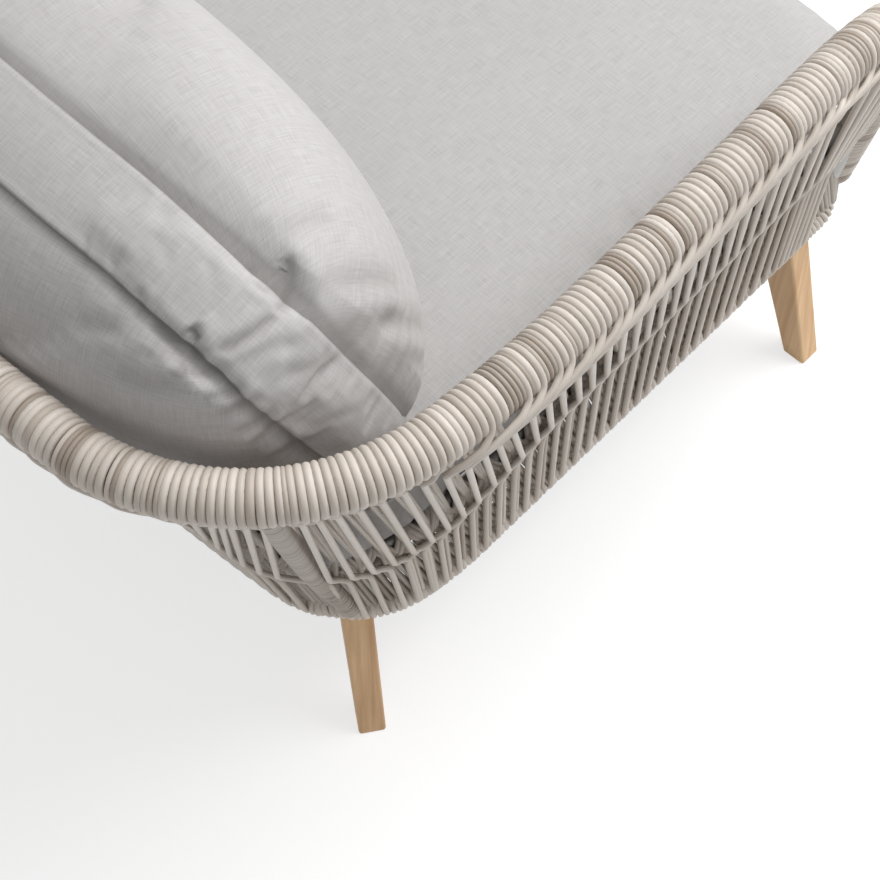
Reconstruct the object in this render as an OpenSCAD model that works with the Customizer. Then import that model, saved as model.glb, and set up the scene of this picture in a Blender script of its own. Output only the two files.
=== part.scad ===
/* [Top rail] */
// Half of the width, to the rail's centreline
rail_half_w = 406; // [340:1:460]
// Height of the rail's centreline above the floor
rail_h = 573; // [520:1:640]
// Distance from the middle of the seat back to the rail's centreline
rail_back_y = 391; // [370:1:430]
// Radius of the rear corners
rail_corner_r = 186; // [150:1:220]
// Radius of the gentle bow in the back
rail_back_bow = 2400; // [1800:50:4000]
// Radius of the gentle bow in each arm
rail_side_bow = 1240; // [1000:20:2400]
// Distance from the middle to the line of the front posts
front_post_reach = 375; // [366:1:386]
// Diameter of the bent rail tube
rail_tube_d = 27; // [22:0.5:32]
// Radius of the bend where an arm turns down at the front
front_bend_r = 195; // [150:1:215]
// Angle of that bend
front_bend_deg = 86; // [82:1:90]

/* [Strand] */
// Diameter of the round resin strand
strand_d = 5.5; // [4:0.1:6.5]
// Distance between the outer strands of the walls
strand_step = 17; // [14:0.5:24]
// How far an upper strand leans back on its way up
upper_lean = 78; // [0:1:100]
// How far a lower strand leans forward on its way up
lower_lean = 14; // [0:1:24]

/* [Base ring] */
// Half of the width, to the ring's centreline
base_half_w = 340; // [300:1:380]
// Height of the ring's centreline
base_h = 184; // [160:1:215]
// Distance from the middle to the back run of the ring
base_back_y = 261; // [240:1:290]
// Radius of the rear corners
base_corner_r = 95; // [70:1:130]
// Radius of the front corners
ring_front_r = 34; // [30:1:56]
// Diameter of the tube of the base ring and the seat ring
ring_tube_d = 16; // [12:0.5:20]

/* [Seat ring] */
// Half of the width, to the ring's centreline
seat_half_w = 326; // [300:1:350]
// Height of the ring's centreline
seat_ring_h = 262; // [240:1:300]
// Distance from the middle to the back run of the ring
seat_back_y = 267; // [245:1:295]
// Distance of its front run behind the front run of the base ring
seat_ring_in = 24; // [22:1:40]
// Thickness of the plaited cover round the seat ring
braid_t = 4; // [3:0.5:6]

/* [Posts] */
// Diameter of the post tubes
post_d = 12; // [10:0.5:14]
// Place of the arm post's foot, measured from the middle
arm_post_y = -92; // [-140:1:-40]

/* [Deck] */
// Number of cross bars under the seat
deck_bars_n = 2; // [1:1:3]
// Width of a webbing strap
strap_w = 50; // [40:1:60]
// Thickness of a webbing strap
strap_t = 1.8; // [1:0.1:2.4]
// Number of straps from side to side
cross_straps_n = 6; // [4:1:7]
// Number of straps from front to back
long_straps_n = 6; // [4:1:7]

/* [Legs] */
// Width of a leg's outer face at the floor
leg_w = 25; // [20:1:32]
// Width of a leg's outer face at its top
leg_top_w = 28; // [22:1:34]
// Depth of a leg at the floor
leg_foot_depth = 26; // [20:1:34]
// Depth of a leg at its top
leg_top_depth = 47; // [36:1:54]
// How far a leg's foot stands out past its top
leg_splay = 52; // [20:1:60]
// Distance of the front legs from the middle
front_leg_y = -351; // [-354:1:-330]
// Diameter of the leg bolts
bolt_d = 8; // [6:1:10]
// Diameter of a glide
glide_d = 16; // [12:1:19]

/* [Seat cushion] */
// Width of the seat cushion's underside
seat_w = 612; // [540:1:620]
// Width of its top, which fills out where the arms flare
seat_top_w = 684; // [600:1:690]
// Depth of the seat cushion
seat_depth = 606; // [540:1:610]
// Height of the boxing strip round the seat cushion
seat_boxing = 126; // [90:1:140]
// Rise of the cushion's crown
seat_crown = 24; // [10:1:34]

/* [Back cushion] */
// Width of the back cushion at its seams
back_w = 636; // [540:1:640]
// Height of the back cushion along its lean
back_height = 268; // [230:1:290]
// Width of its boxing strip
back_boxing = 62; // [50:1:80]
// Swell of its front
back_front_crown = 114; // [60:1:116]
// Swell of its rear
back_rear_crown = 93; // [50:1:96]
// Lean from upright
back_lean = 20; // [14:1:22]

/* [Hidden] */

// Clearances and small thicknesses
fit_gap = 0.3;
rest_gap = 0.3;
overrun = 1;
post_cover_t = 4;

// Facet counts of tubes, strands and turns, and of gentle and tight arcs
tube_sides = 24;
post_sides = 20;
strand_sides = 16;
turn_sides = 32;
bore_sides = 32;
arc_sides = 96;
bow_sides = 720;

// A plan curve holds its half width, back distance, corner radius, back bow, side bow,
// the place where it is widest and the angle at which its arms run in at the front
widest_y = 109;
rail_toe = 2.1;
ring_toe = 0.5;
ring_back_bow = 2200;
ring_side_bow = 330;
rail = [rail_half_w, rail_back_y, rail_corner_r, rail_back_bow, rail_side_bow, widest_y, rail_toe];
base = [base_half_w, base_back_y, base_corner_r, ring_back_bow, ring_side_bow, widest_y, ring_toe];
seat = [seat_half_w, seat_back_y, base_corner_r, ring_back_bow, ring_side_bow, widest_y, ring_toe];
function grown(c, by) = [c[0] + by, c[1] + by, c[2] + by, c[3] + by, c[4] + by, c[5], c[6]];

// The three arcs of a plan curve touch each other, and their centres stay when it grows
function back_centre(c) = [0, c[1] - c[3]];
function side_centre(c) = [c[4] - c[0], c[5]];
function corner_centre(c) =
    let (p = back_centre(c), q = side_centre(c), a = c[3] - c[2], b = c[4] - c[2],
        d = norm(q - p), along = (a * a - b * b + d * d) / (2 * d),
        off = sqrt(a * a - along * along), u = (q - p) / d)
    p + u * along + [-u[1], u[0]] * off;
half_turn = 180;
front_heading = 270;
back_heading = 90;
function heading(v) = atan2(v[1], v[0]);
function back_end(c) = heading(corner_centre(c) - back_centre(c));
function side_start(c) = heading(corner_centre(c) - side_centre(c));
function on_arc(centre, r, a) = centre + r * [cos(a), sin(a)];
function side_end(c) = on_arc(side_centre(c), c[4], half_turn + c[6]);
function on_straight(c, y) = side_end(c) + (side_end(c)[1] - y) * [tan(c[6]), -1];
function corner_y(c) = on_arc(side_centre(c), c[4], side_start(c))[1];

// Place on a curve: 0 to 1 along the back, 1 to 2 round the corner, 2 to 3 along the arm
function plan_angle(c, t, end_y) =
    t <= 1 ? back_heading + (back_end(c) - back_heading) * t :
    t <= 2 ? back_end(c) + (side_start(c) - back_end(c)) * (t - 1) :
    let (y = arm_y(c, t, end_y))
    y > side_end(c)[1] ? half_turn - asin((y - c[5]) / c[4]) : half_turn + c[6];
function arm_y(c, t, end_y) = corner_y(c) + (end_y - corner_y(c)) * (t - 2);
function plan_at(c, t, end_y) =
    let (a = plan_angle(c, t, end_y))
    t <= 1 ? on_arc(back_centre(c), c[3], a) :
    t <= 2 ? on_arc(corner_centre(c), c[2], a) :
    arm_y(c, t, end_y) > side_end(c)[1] ? on_arc(side_centre(c), c[4], a) :
    on_straight(c, arm_y(c, t, end_y));
function arm_place(c, y, end_y) = 2 + (y - corner_y(c)) / (end_y - corner_y(c));

// Sizes that follow from the tubes and the strand
rail_tube_r = rail_tube_d / 2;
ring_tube_r = ring_tube_d / 2;
strand_r = strand_d / 2;
rail_wrap_r = rail_tube_r + fit_gap + strand_d;
base_wrap_r = ring_tube_r + strand_d;
braid_r = ring_tube_r + fit_gap + braid_t;
post_r = post_d / 2;
post_wrap_r = post_r + post_cover_t;

// The arm's front bend turns down in a plane that leans with the wall
bend_start_y = -front_post_reach + front_bend_r;
bend_start = on_straight(rail, bend_start_y);
arm_heading = [sin(rail_toe), -cos(rail_toe), 0];
corner_share = 1 - cos(45);
post_foot_x = on_straight(base, -front_post_reach)[0] + ring_front_r * corner_share;
wall_lean = atan((post_foot_x - bend_start[0]) / (rail_h - base_h));
down_way = [sin(wall_lean) * cos(rail_toe), sin(wall_lean) * sin(rail_toe), -cos(wall_lean)];
bend_centre = [bend_start[0], bend_start[1], rail_h] + front_bend_r * down_way;
function bend_at(a) = bend_centre + front_bend_r * (arm_heading * sin(a) - down_way * cos(a));
function bend_way(a) = arm_heading * cos(a) + down_way * sin(a);
post_top = bend_at(front_bend_deg);
post_way = bend_way(front_bend_deg);
post_len = (post_top[2] - base_h) / -post_way[2];
post_foot = post_top + post_way * post_len;
ring_front_y = post_foot[1] - ring_front_r * corner_share;
seat_front_y = ring_front_y + seat_ring_in;

// Position, inward side and outward side of the rail at a place, over the bend as well
function over_bend(y) = max(0, min(front_bend_deg, asin(min(1, (bend_start[1] - y) / front_bend_r))));
function rail_spot(t) =
    let (y = t > 2 ? arm_y(rail, t, post_top[1]) : rail_back_y, a = plan_angle(rail, t, post_top[1]),
        p = plan_at(rail, t, post_top[1]))
    t > 2 && y < bend_start[1] ? bend_at(over_bend(y)) : [p[0], p[1], rail_h];
function rail_inward(t) =
    let (y = t > 2 ? arm_y(rail, t, post_top[1]) : rail_back_y, a = over_bend(y))
    t > 2 && y < bend_start[1] ? down_way * cos(a) - arm_heading * sin(a) : [0, 0, -1];
function rail_outward(t) =
    let (a = plan_angle(rail, t, post_top[1])) [cos(a), sin(a), 0];

// A round bar from one point to another
module bar(from, to, d, fn = tube_sides) {
    v = to - from;
    translate(from) rotate([0, acos(v[2] / norm(v)), atan2(v[1], v[0])])
        cylinder(d = d, h = norm(v), $fn = fn);
}

// Runs and bends of one tube stop a hair short of each other, and a thin collar joins them
joint_gap = 0.25;
collar_half = 1.5;
collar_over = 0.1;
module run(from, to, d, fn = tube_sides) {
    way = (to - from) / norm(to - from);
    bar(from + joint_gap * way, to - joint_gap * way, d, fn);
}
module collar(p, way, d, fn = tube_sides) {
    bar(p - collar_half * way, p + collar_half * way, d + 2 * collar_over, fn);
}

// A tube's section swept round part of a circle in plan
side_bow_least = 300;
function trim_deg(r) = joint_gap / r * half_turn / PI;
module arc_tube(centre, r, from, to, z, d, fn = tube_sides) {
    translate([centre[0], centre[1], z]) rotate([0, 0, from + trim_deg(r)])
        rotate_extrude(angle = to - from - 2 * trim_deg(r), $fn = r > side_bow_least ? bow_sides : arc_sides)
            translate([r, 0]) circle(d = d, $fn = fn);
}
module arc_collar(centre, r, a, z, d, fn = tube_sides) {
    p = on_arc(centre, r, a);
    collar([p[0], p[1], z], [-sin(a), cos(a), 0], d, fn);
}

// The back and one arm of a plan curve, as far forward as end_y
module half_curve(c, z, d, end_y, fn = tube_sides) {
    arc_tube(corner_centre(c), c[2], back_end(c), side_start(c), z, d, fn);
    arc_tube(side_centre(c), c[4], side_start(c), half_turn + c[6], z, d, fn);
    run([side_end(c)[0], side_end(c)[1], z],
        [on_straight(c, end_y)[0], on_straight(c, end_y)[1], z], d, fn);
    arc_collar(corner_centre(c), c[2], back_end(c), z, d, fn);
    arc_collar(side_centre(c), c[4], side_start(c), z, d, fn);
    arc_collar(side_centre(c), c[4], half_turn + c[6], z, d, fn);
}
module both() {
    children();
    mirror([1, 0, 0]) children();
}
module open_curve(c, z, d, end_y, fn = tube_sides) {
    arc_tube(back_centre(c), c[3], half_turn - back_end(c), back_end(c), z, d, fn);
    both() half_curve(c, z, d, end_y, fn);
}

// A closed ring adds a front corner and a straight front run
function front_corner_y(c, front_y) = front_y + ring_front_r * (1 - sin(c[6]));
module closed_curve(c, z, d, front_y, fn = tube_sides) {
    y0 = front_corner_y(c, front_y);
    centre = on_straight(c, y0) + ring_front_r * [cos(c[6]), sin(c[6])];
    open_curve(c, z, d, y0, fn);
    both() {
        arc_tube(centre, ring_front_r, half_turn + c[6], front_heading, z, d, fn);
        arc_collar(centre, ring_front_r, half_turn + c[6], z, d, fn);
        arc_collar(centre, ring_front_r, front_heading, z, d, fn);
    }
    run([centre[0], front_y, z], [-centre[0], front_y, z], d, fn);
}

// The front bend and post as one run of tube
module front_run(d, to_z) {
    side_way = cross(down_way, arm_heading);
    m = [[-down_way[0], arm_heading[0], side_way[0], bend_centre[0]],
        [-down_way[1], arm_heading[1], side_way[1], bend_centre[1]],
        [-down_way[2], arm_heading[2], side_way[2], bend_centre[2]]];
    multmatrix(m) rotate([0, 0, trim_deg(front_bend_r)])
        rotate_extrude(angle = front_bend_deg - 2 * trim_deg(front_bend_r), $fn = arc_sides)
            translate([front_bend_r, 0]) circle(d = d, $fn = tube_sides);
    run(post_top, post_top + post_way * (post_top[2] - to_z) / -post_way[2], d);
    collar(bend_at(0), arm_heading, d);
    collar(post_top, post_way, d);
}

// Top rail: one bent tube with the two front posts, seated on the base ring
module rail_tube() {
    color("silver") difference() {
        union() {
            open_curve(rail, rail_h, rail_tube_d, bend_start[1]);
            both() front_run(rail_tube_d, base_h);
        }
        closed_curve(base, base_h, ring_tube_d + 2 * fit_gap, ring_front_y);
    }
}

// Turns of strand round the rail, close together at the tightest bend
tight_r = min(rail_corner_r, front_bend_r);
turn_step = strand_d * tight_r / (tight_r - rail_wrap_r) + fit_gap / 2;
turn_r = rail_tube_r + fit_gap + strand_r;
module turn() {
    rotate_extrude($fn = turn_sides) translate([turn_r, 0]) circle(d = strand_d, $fn = strand_sides);
}

// One turn at a point of the rail; where a post comes in, the turn stops against it
function near_post(p) = min([for (t = [0, rear_spot, arm_spot]) norm(p - post_end(t))])
    < rear_post_in + post_r + 2 * strand_d;
module turn_at(p, way) {
    if (near_post(p)) {
        difference() {
            turn_placed(p, way);
            for (t = [0, rear_spot, arm_spot]) upper_post(t, 2 * fit_gap);
        }
    } else {
        turn_placed(p, way);
    }
}
module turn_placed(p, way) {
    translate(p) rotate([0, acos(way[2]), atan2(way[1], way[0])]) turn();
}
module turns_on_arc(centre, r, from, to) {
    n = max(1, floor(r * abs(to - from) * PI / half_turn / turn_step));
    for (i = [0 : n - 1]) {
        a = from + (to - from) * (i + 0.5) / n;
        turn_at([centre[0] + r * cos(a), centre[1] + r * sin(a), rail_h], [-sin(a), cos(a), 0]);
    }
}
module turns_on_line(from, to) {
    v = (to - from) / norm(to - from);
    n = max(1, floor(norm(to - from) / turn_step));
    for (i = [0 : n - 1]) turn_at(from + (to - from) * (i + 0.5) / n, v);
}
module turns_on_bend() {
    n = floor(front_bend_r * front_bend_deg * PI / half_turn / turn_step);
    for (i = [0 : n - 1]) {
        a = front_bend_deg * (i + 0.5) / n;
        turn_at(bend_at(a), bend_way(a));
    }
}
module rail_wrap_back() {
    color("#cdc6bc")
        turns_on_arc(back_centre(rail), rail_back_bow, half_turn - back_end(rail), back_end(rail));
}
module corner_turns() {
    color("#cdc6bc") turns_on_arc(corner_centre(rail), rail_corner_r, back_end(rail), side_start(rail));
}
module arm_turns() {
    color("#cdc6bc") {
        turns_on_arc(side_centre(rail), rail_side_bow, side_start(rail), half_turn + rail_toe);
        turns_on_line([side_end(rail)[0], side_end(rail)[1], rail_h],
            [bend_start[0], bend_start[1], rail_h]);
    }
}
module front_turns() {
    wrap_end = post_top + post_way * (post_top[2] - base_h - base_wrap_r - strand_d) / -post_way[2];
    color("#cdc6bc") {
        turns_on_bend();
        turns_on_line(post_top, wrap_end);
    }
}
module rail_wrap_corner_right() { corner_turns(); }
module rail_wrap_corner_left() { mirror([1, 0, 0]) corner_turns(); }
module rail_wrap_arm_right() { arm_turns(); }
module rail_wrap_arm_left() { mirror([1, 0, 0]) arm_turns(); }
module rail_wrap_front_right() { front_turns(); }
module rail_wrap_front_left() { mirror([1, 0, 0]) front_turns(); }

// Base ring and the strand layer round it, which stays open where the front posts land
module base_ring() {
    color("silver") closed_curve(base, base_h, ring_tube_d, ring_front_y);
}
module base_wrap() {
    color("#b9b1a7") difference() {
        closed_curve(base, base_h, 2 * base_wrap_r, ring_front_y);
        closed_curve(base, base_h, ring_tube_d + 2 * fit_gap, ring_front_y);
        both() {
            bar(post_top, post_foot + post_way * overrun, rail_tube_d + 2 * fit_gap);
            for (p = [rear_spot, arm_spot]) lower_post(p, 2 * fit_gap);
        }
        lower_post(0, 2 * fit_gap);
    }
}

// Seat ring, lower than the cushion, with its plaited cover
module seat_ring() {
    color("silver") closed_curve(seat, seat_ring_h, ring_tube_d, seat_front_y);
}
module seat_braid() {
    color("#a89f95") difference() {
        closed_curve(seat, seat_ring_h, 2 * braid_r, seat_front_y);
        closed_curve(seat, seat_ring_h, ring_tube_d + 2 * fit_gap, seat_front_y);
        both() for (p = [rear_spot, arm_spot]) {
            lower_post(p, 2 * fit_gap);
            upper_post(p, 2 * fit_gap);
        }
        lower_post(0, 2 * fit_gap);
        upper_post(0, 2 * fit_gap);
        both() bar(post_top, post_foot, 2 * (rail_wrap_r + fit_gap));
        for (i = [0 : deck_bars_n - 1]) deck_bar(i, 2 * fit_gap);
    }
}

// Posts run from ring to ring and break at the seat ring
rear_spot = 1.6;
arm_spot = arm_place(seat, arm_post_y, ring_front_y);
post_back_lean = 64;
rear_post_in = 8;
rear_post_foot_in = 3;
function spot_xyz(c, t, z) =
    let (p = plan_at(c, t, ring_front_y)) [p[0], p[1], z];
function arm_top_spot(t) =
    t > 2 ? arm_place(rail, arm_y(seat, t, ring_front_y) + post_back_lean, post_top[1]) : t;
function post_end(t) =
    rail_spot(arm_top_spot(t)) - (t == rear_spot ? rear_post_in : 0) * rail_outward(arm_top_spot(t));
function post_start(t) =
    let (a = plan_angle(seat, t, ring_front_y))
    spot_xyz(seat, t, seat_ring_h) - (t == rear_spot ? rear_post_foot_in : 0) * [cos(a), sin(a), 0];
module lower_post(t, extra = 0) {
    bar(spot_xyz(base, t, base_h), spot_xyz(seat, t, seat_ring_h), post_d + extra, post_sides);
}
module upper_post(t, extra = 0) {
    bar(post_start(t), post_end(t), post_d + extra, post_sides);
}

// A post is cut to the curve of each tube it meets
saddle_half = 15;
module saddle(p, a, d) {
    way = [-sin(a), cos(a), 0];
    bar(p - saddle_half * way, p + saddle_half * way, d + 2 * fit_gap);
}
module ring_saddle(c, t, z) {
    saddle(spot_xyz(c, t, z), plan_angle(c, t, ring_front_y), ring_tube_d);
}
module post(t) {
    rail_t = arm_top_spot(t);
    color("silver") {
        difference() {
            lower_post(t);
            ring_saddle(base, t, base_h);
            ring_saddle(seat, t, seat_ring_h);
        }
        difference() {
            upper_post(t);
            ring_saddle(seat, t, seat_ring_h);
            saddle(rail_spot(rail_t), plan_angle(rail, rail_t, post_top[1]), rail_tube_d);
        }
    }
}
module rear_post_right() { post(rear_spot); }
module rear_post_left() { mirror([1, 0, 0]) post(rear_spot); }
module arm_post_right() { post(arm_spot); }
module arm_post_left() { mirror([1, 0, 0]) post(arm_spot); }
module back_post() { post(0); }
sleeve_clear = 3;
module sleeve(from, to, start_in, end_in) {
    way = (to - from) / norm(to - from);
    p = from + (start_in + sleeve_clear) * way;
    q = to - (end_in + sleeve_clear) * way;
    difference() {
        bar(p, q, 2 * post_wrap_r, post_sides);
        bar(p - overrun * way, q + overrun * way, post_d + 2 * fit_gap, post_sides);
    }
}
module post_sleeve(t) {
    sleeve(spot_xyz(base, t, base_h), spot_xyz(seat, t, seat_ring_h), base_wrap_r, braid_r);
    sleeve(post_start(t), post_end(t), braid_r + 2 * strand_d, rail_wrap_r);
}
module post_wraps() {
    color("#c2bab0") {
        both() {
            post_sleeve(rear_spot);
            post_sleeve(arm_spot);
        }
        post_sleeve(0);
    }
}

// Deck: bars between the sides of the seat ring, and webbing drawn over them
deck_front_in = 110;
deck_rear_in = 130;
deck_front_y = seat_front_y + deck_front_in;
deck_rear_y = seat_back_y - deck_rear_in;
strap_top = seat_ring_h + braid_r;
bar_z = strap_top - 2 * strap_t - rest_gap - fit_gap - ring_tube_r;
function deck_bar_y(i) =
    deck_bars_n == 1 ? (deck_front_y + deck_rear_y) / 2 :
    deck_front_y + (deck_rear_y - deck_front_y) * i / (deck_bars_n - 1);
module deck_bar(i, extra = 0) {
    x = -plan_at(seat, arm_place(seat, deck_bar_y(i), ring_front_y), ring_front_y)[0];
    bar([-x, deck_bar_y(i), bar_z], [x, deck_bar_y(i), bar_z], ring_tube_d + extra);
}
module deck_bars() {
    color("silver") difference() {
        for (i = [0 : deck_bars_n - 1]) deck_bar(i);
        closed_curve(seat, seat_ring_h, ring_tube_d + 2 * fit_gap, seat_front_y);
    }
}

// Straps end just inside the braid and lie on the bars, the cross straps over the long ones
strap_inset = braid_r + fit_gap;
strap_rear_in = 28;
strap_side_in = 8;
module straps_cross() {
    first = seat_front_y + strap_inset + strap_w;
    last = seat_back_y - base_corner_r;
    half = seat_half_w - strap_inset - strap_side_in;
    for (i = [0 : cross_straps_n - 1])
        translate([-half, first + (last - first) * i / (cross_straps_n - 1) - strap_w / 2,
            strap_top - strap_t])
            cube([2 * half, strap_w, strap_t]);
}
module straps_long() {
    half = seat_half_w - base_corner_r - strap_w / 2;
    y0 = seat_front_y + strap_inset;
    y1 = seat_back_y - strap_rear_in;
    for (i = [0 : long_straps_n - 1])
        translate([-half + 2 * half * i / (long_straps_n - 1) - strap_w / 2, y0,
            strap_top - 2 * strap_t - rest_gap])
            cube([strap_w, y1 - y0, strap_t]);
}
module webbing_cross() {
    color("#6f6a64") straps_cross();
}
module webbing_long() {
    color("#67625c") straps_long();
}

// Legs: tapered blades of wood that splay outward from under the base ring
leg_top_z = base_h - base_wrap_r - rest_gap;
glide_out = 1;
glide_t = 4;
leg_round = 3;
leg_slice = 0.5;
bolt_len = 45;
bolt_pitch = 18;
bolt_edge = 8;
front_leg_inset = 5;
rear_leg_inset = 7;
rear_leg_place = 136;
rear_leg_yaw = 145;
rear_leg_t = 1 + (rear_leg_place - back_end(base)) / (side_start(base) - back_end(base));
rear_leg_top = plan_at(base, rear_leg_t, ring_front_y);
function leg_yaw(front) = front ? half_turn : rear_leg_yaw;
function leg_top_at(front) =
    front ? [on_straight(base, front_leg_y)[0] + front_leg_inset, front_leg_y] :
    rear_leg_top - rear_leg_inset * [cos(rear_leg_place), sin(rear_leg_place)];
module leg_section(w, depth, z, out) {
    translate([out - depth + leg_round, -w / 2 + leg_round, z])
        linear_extrude(leg_slice) offset(r = leg_round, $fn = tube_sides)
            square([depth - 2 * leg_round, w - 2 * leg_round]);
}
module in_leg_place(front) {
    p = leg_top_at(front);
    translate([p[0], p[1], 0]) rotate([0, 0, leg_yaw(front)]) children();
}
module bolt_places() {
    for (k = [0, 1])
        translate([bolt_edge - leg_top_depth + k * bolt_pitch, 0, leg_top_z]) children();
}
module leg(front) {
    color("#c9a06c") in_leg_place(front) difference() {
        hull() {
            leg_section(leg_w, leg_foot_depth, glide_out, leg_splay);
            leg_section(leg_top_w, leg_top_depth, leg_top_z - leg_slice, 0);
        }
        translate([leg_splay - leg_foot_depth / 2, 0, 0])
            cylinder(d = glide_d + 2 * fit_gap, h = glide_t + fit_gap, $fn = bore_sides);
        bolt_places() translate([0, 0, -bolt_len - fit_gap])
            cylinder(d = bolt_d + 2 * fit_gap, h = bolt_len + overrun, $fn = bore_sides);
    }
}
module leg_front_right() { leg(true); }
module leg_front_left() { mirror([1, 0, 0]) leg(true); }
module leg_rear_right() { leg(false); }
module leg_rear_left() { mirror([1, 0, 0]) leg(false); }
module glides() {
    color("#3c3a38") both() for (front = [true, false]) in_leg_place(front)
        translate([leg_splay - leg_foot_depth / 2, 0, 0])
            cylinder(d = glide_d, h = glide_t, $fn = bore_sides);
}

// Plates under the base ring carry the legs, with bolts down into the wood
plate_t = 4;
plate_w = 60;
plate_past = 12;
module leg_plates() {
    color("silver") difference() {
        both() for (front = [true, false]) in_leg_place(front)
            translate([-leg_top_depth - plate_past, -plate_w / 2, leg_top_z + fit_gap])
                cube([leg_top_depth + plate_past, plate_w, plate_t]);
        closed_curve(base, base_h, 2 * (base_wrap_r + fit_gap), ring_front_y);
        both() for (front = [true, false]) in_leg_place(front) bolt_places()
            cylinder(d = bolt_d + 2 * fit_gap, h = plate_t + 2 * overrun, $fn = bore_sides);
    }
}
head_w = 13;
head_t = 5.5;
hex_sides = 6;
module leg_bolts() {
    color("#9a9a98") both() for (front = [true, false]) in_leg_place(front) bolt_places() {
        translate([0, 0, -bolt_len])
            cylinder(d = bolt_d, h = bolt_len + plate_t + 2 * fit_gap, $fn = bore_sides);
        translate([0, 0, plate_t + 2 * fit_gap]) cylinder(d = head_w, h = head_t, $fn = hex_sides);
    }
}

// Two strands that run along under the rail, and two along the seat ring
bundle_degs = [-18, -36];
bundle_far = rail_wrap_r + strand_r + rest_gap;
module rail_bundle() {
    color("#d3ccc3") for (a = bundle_degs)
        open_curve(grown(rail, bundle_far * cos(a)), rail_h + bundle_far * sin(a), strand_d,
            bend_start[1], strand_sides);
}
belt = grown(seat, braid_r + strand_r + rest_gap);
belt_step = strand_d + fit_gap;
belt_end_y = ring_front_y + ring_front_r + rail_wrap_r;
module seat_bundle() {
    color("#d3ccc3") for (i = [0, 1])
        open_curve(belt, seat_ring_h + belt_step * (i + 0.5), strand_d, belt_end_y, strand_sides);
}

// Wall strands: where they end at the rail, the seat belt and the base ring
skin_gap = post_wrap_r + strand_r + rest_gap;
rail_drop = sqrt(pow(rail_wrap_r + strand_d, 2) - pow(skin_gap, 2));
end_share = 0.1;
end_gap = rest_gap + strand_d * end_share;
function rail_end(t) = rail_spot(t) + skin_gap * rail_outward(t) + rail_drop * rail_inward(t);
function belt_xyz(t, z) =
    let (p = plan_at(belt, t, belt_end_y)) [p[0], p[1], z];
belt_top = seat_ring_h + belt_step * 1.5 + strand_r + end_gap;
belt_bottom = seat_ring_h + belt_step * 0.5 - strand_r - end_gap;
skirt_up = sqrt(pow(base_wrap_r, 2) - pow(skin_gap - strand_r, 2)) + end_gap;
function skirt_foot(t) =
    let (p = plan_at(grown(base, skin_gap), t, belt_end_y)) [p[0], p[1], base_h + skirt_up];

// A lean in millimetres becomes a step in place
function arm_len(c) = corner_y(c) - belt_end_y;
function corner_len(c) = c[2] * (side_start(c) - back_end(c)) * PI / half_turn;
function back_len(c) = c[3] * (back_end(c) - back_heading) * PI / half_turn;
arm_n = floor(arm_len(belt) / strand_step);
corner_crowd_share = 1.15;
corner_n = floor(corner_crowd_share * corner_len(belt) / strand_step);
back_n = floor(back_len(belt) / strand_step);
function lean_share(mm) = mm / arm_len(belt);
module upper_strand(t, lean) {
    top = min(3, max(0, t - lean));
    bar(belt_xyz(t, belt_top), rail_end(top), strand_d, strand_sides);
}
module lower_strand(t, lean) {
    bar(skirt_foot(t), belt_xyz(min(3, t + lean), belt_bottom), strand_d, strand_sides);
}
module arm_strands() {
    color("#d6cfc6") for (i = [0.5 : arm_n - 0.5])
        upper_strand(2 + i / arm_n, lean_share(upper_lean));
}
module corner_strands() {
    color("#d6cfc6") for (i = [0.5 : corner_n - 0.5])
        upper_strand(1 + i / corner_n, lean_share(upper_lean));
}
module back_strands() {
    color("#d6cfc6") both() for (i = [0.5 : back_n - 0.5])
        upper_strand(i / back_n, lean_share(upper_lean) * i / back_n);
}
module arm_strands_right() { arm_strands(); }
module arm_strands_left() { mirror([1, 0, 0]) arm_strands(); }
module corner_strands_right() { corner_strands(); }
module corner_strands_left() { mirror([1, 0, 0]) corner_strands(); }
// Lower strands start a share of a step past each place and lean by a share of a step
skirt_start_share = 0.25;
round_lean_share = 0.4;
module arm_skirt() {
    color("#cbc4bb") for (i = [0 : arm_n - 1])
        lower_strand(2 + (i + skirt_start_share) / arm_n, lean_share(lower_lean));
}
module corner_skirt() {
    color("#cbc4bb") for (i = [0 : corner_n - 1])
        lower_strand(1 + (i + skirt_start_share) / corner_n, round_lean_share / corner_n);
}
module back_skirt() {
    color("#cbc4bb") both() for (i = [0 : back_n - 1])
        lower_strand((i + skirt_start_share) / back_n, round_lean_share / back_n);
}
module arm_skirt_right() { arm_skirt(); }
module arm_skirt_left() { mirror([1, 0, 0]) arm_skirt(); }
module corner_skirt_right() { corner_skirt(); }
module corner_skirt_left() { mirror([1, 0, 0]) corner_skirt(); }
module front_skirt() {
    half = -on_straight(base, ring_front_y)[0] - ring_front_r - rail_wrap_r;
    n = floor(2 * half / strand_step);
    y = ring_front_y - skin_gap;
    color("#cbc4bb") for (i = [0 : n])
        bar([-half + 2 * half * i / n, y, base_h + skirt_up],
            [-half + 2 * half * i / n, seat_front_y - braid_r, seat_ring_h - braid_r],
            strand_d, strand_sides);
}

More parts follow.
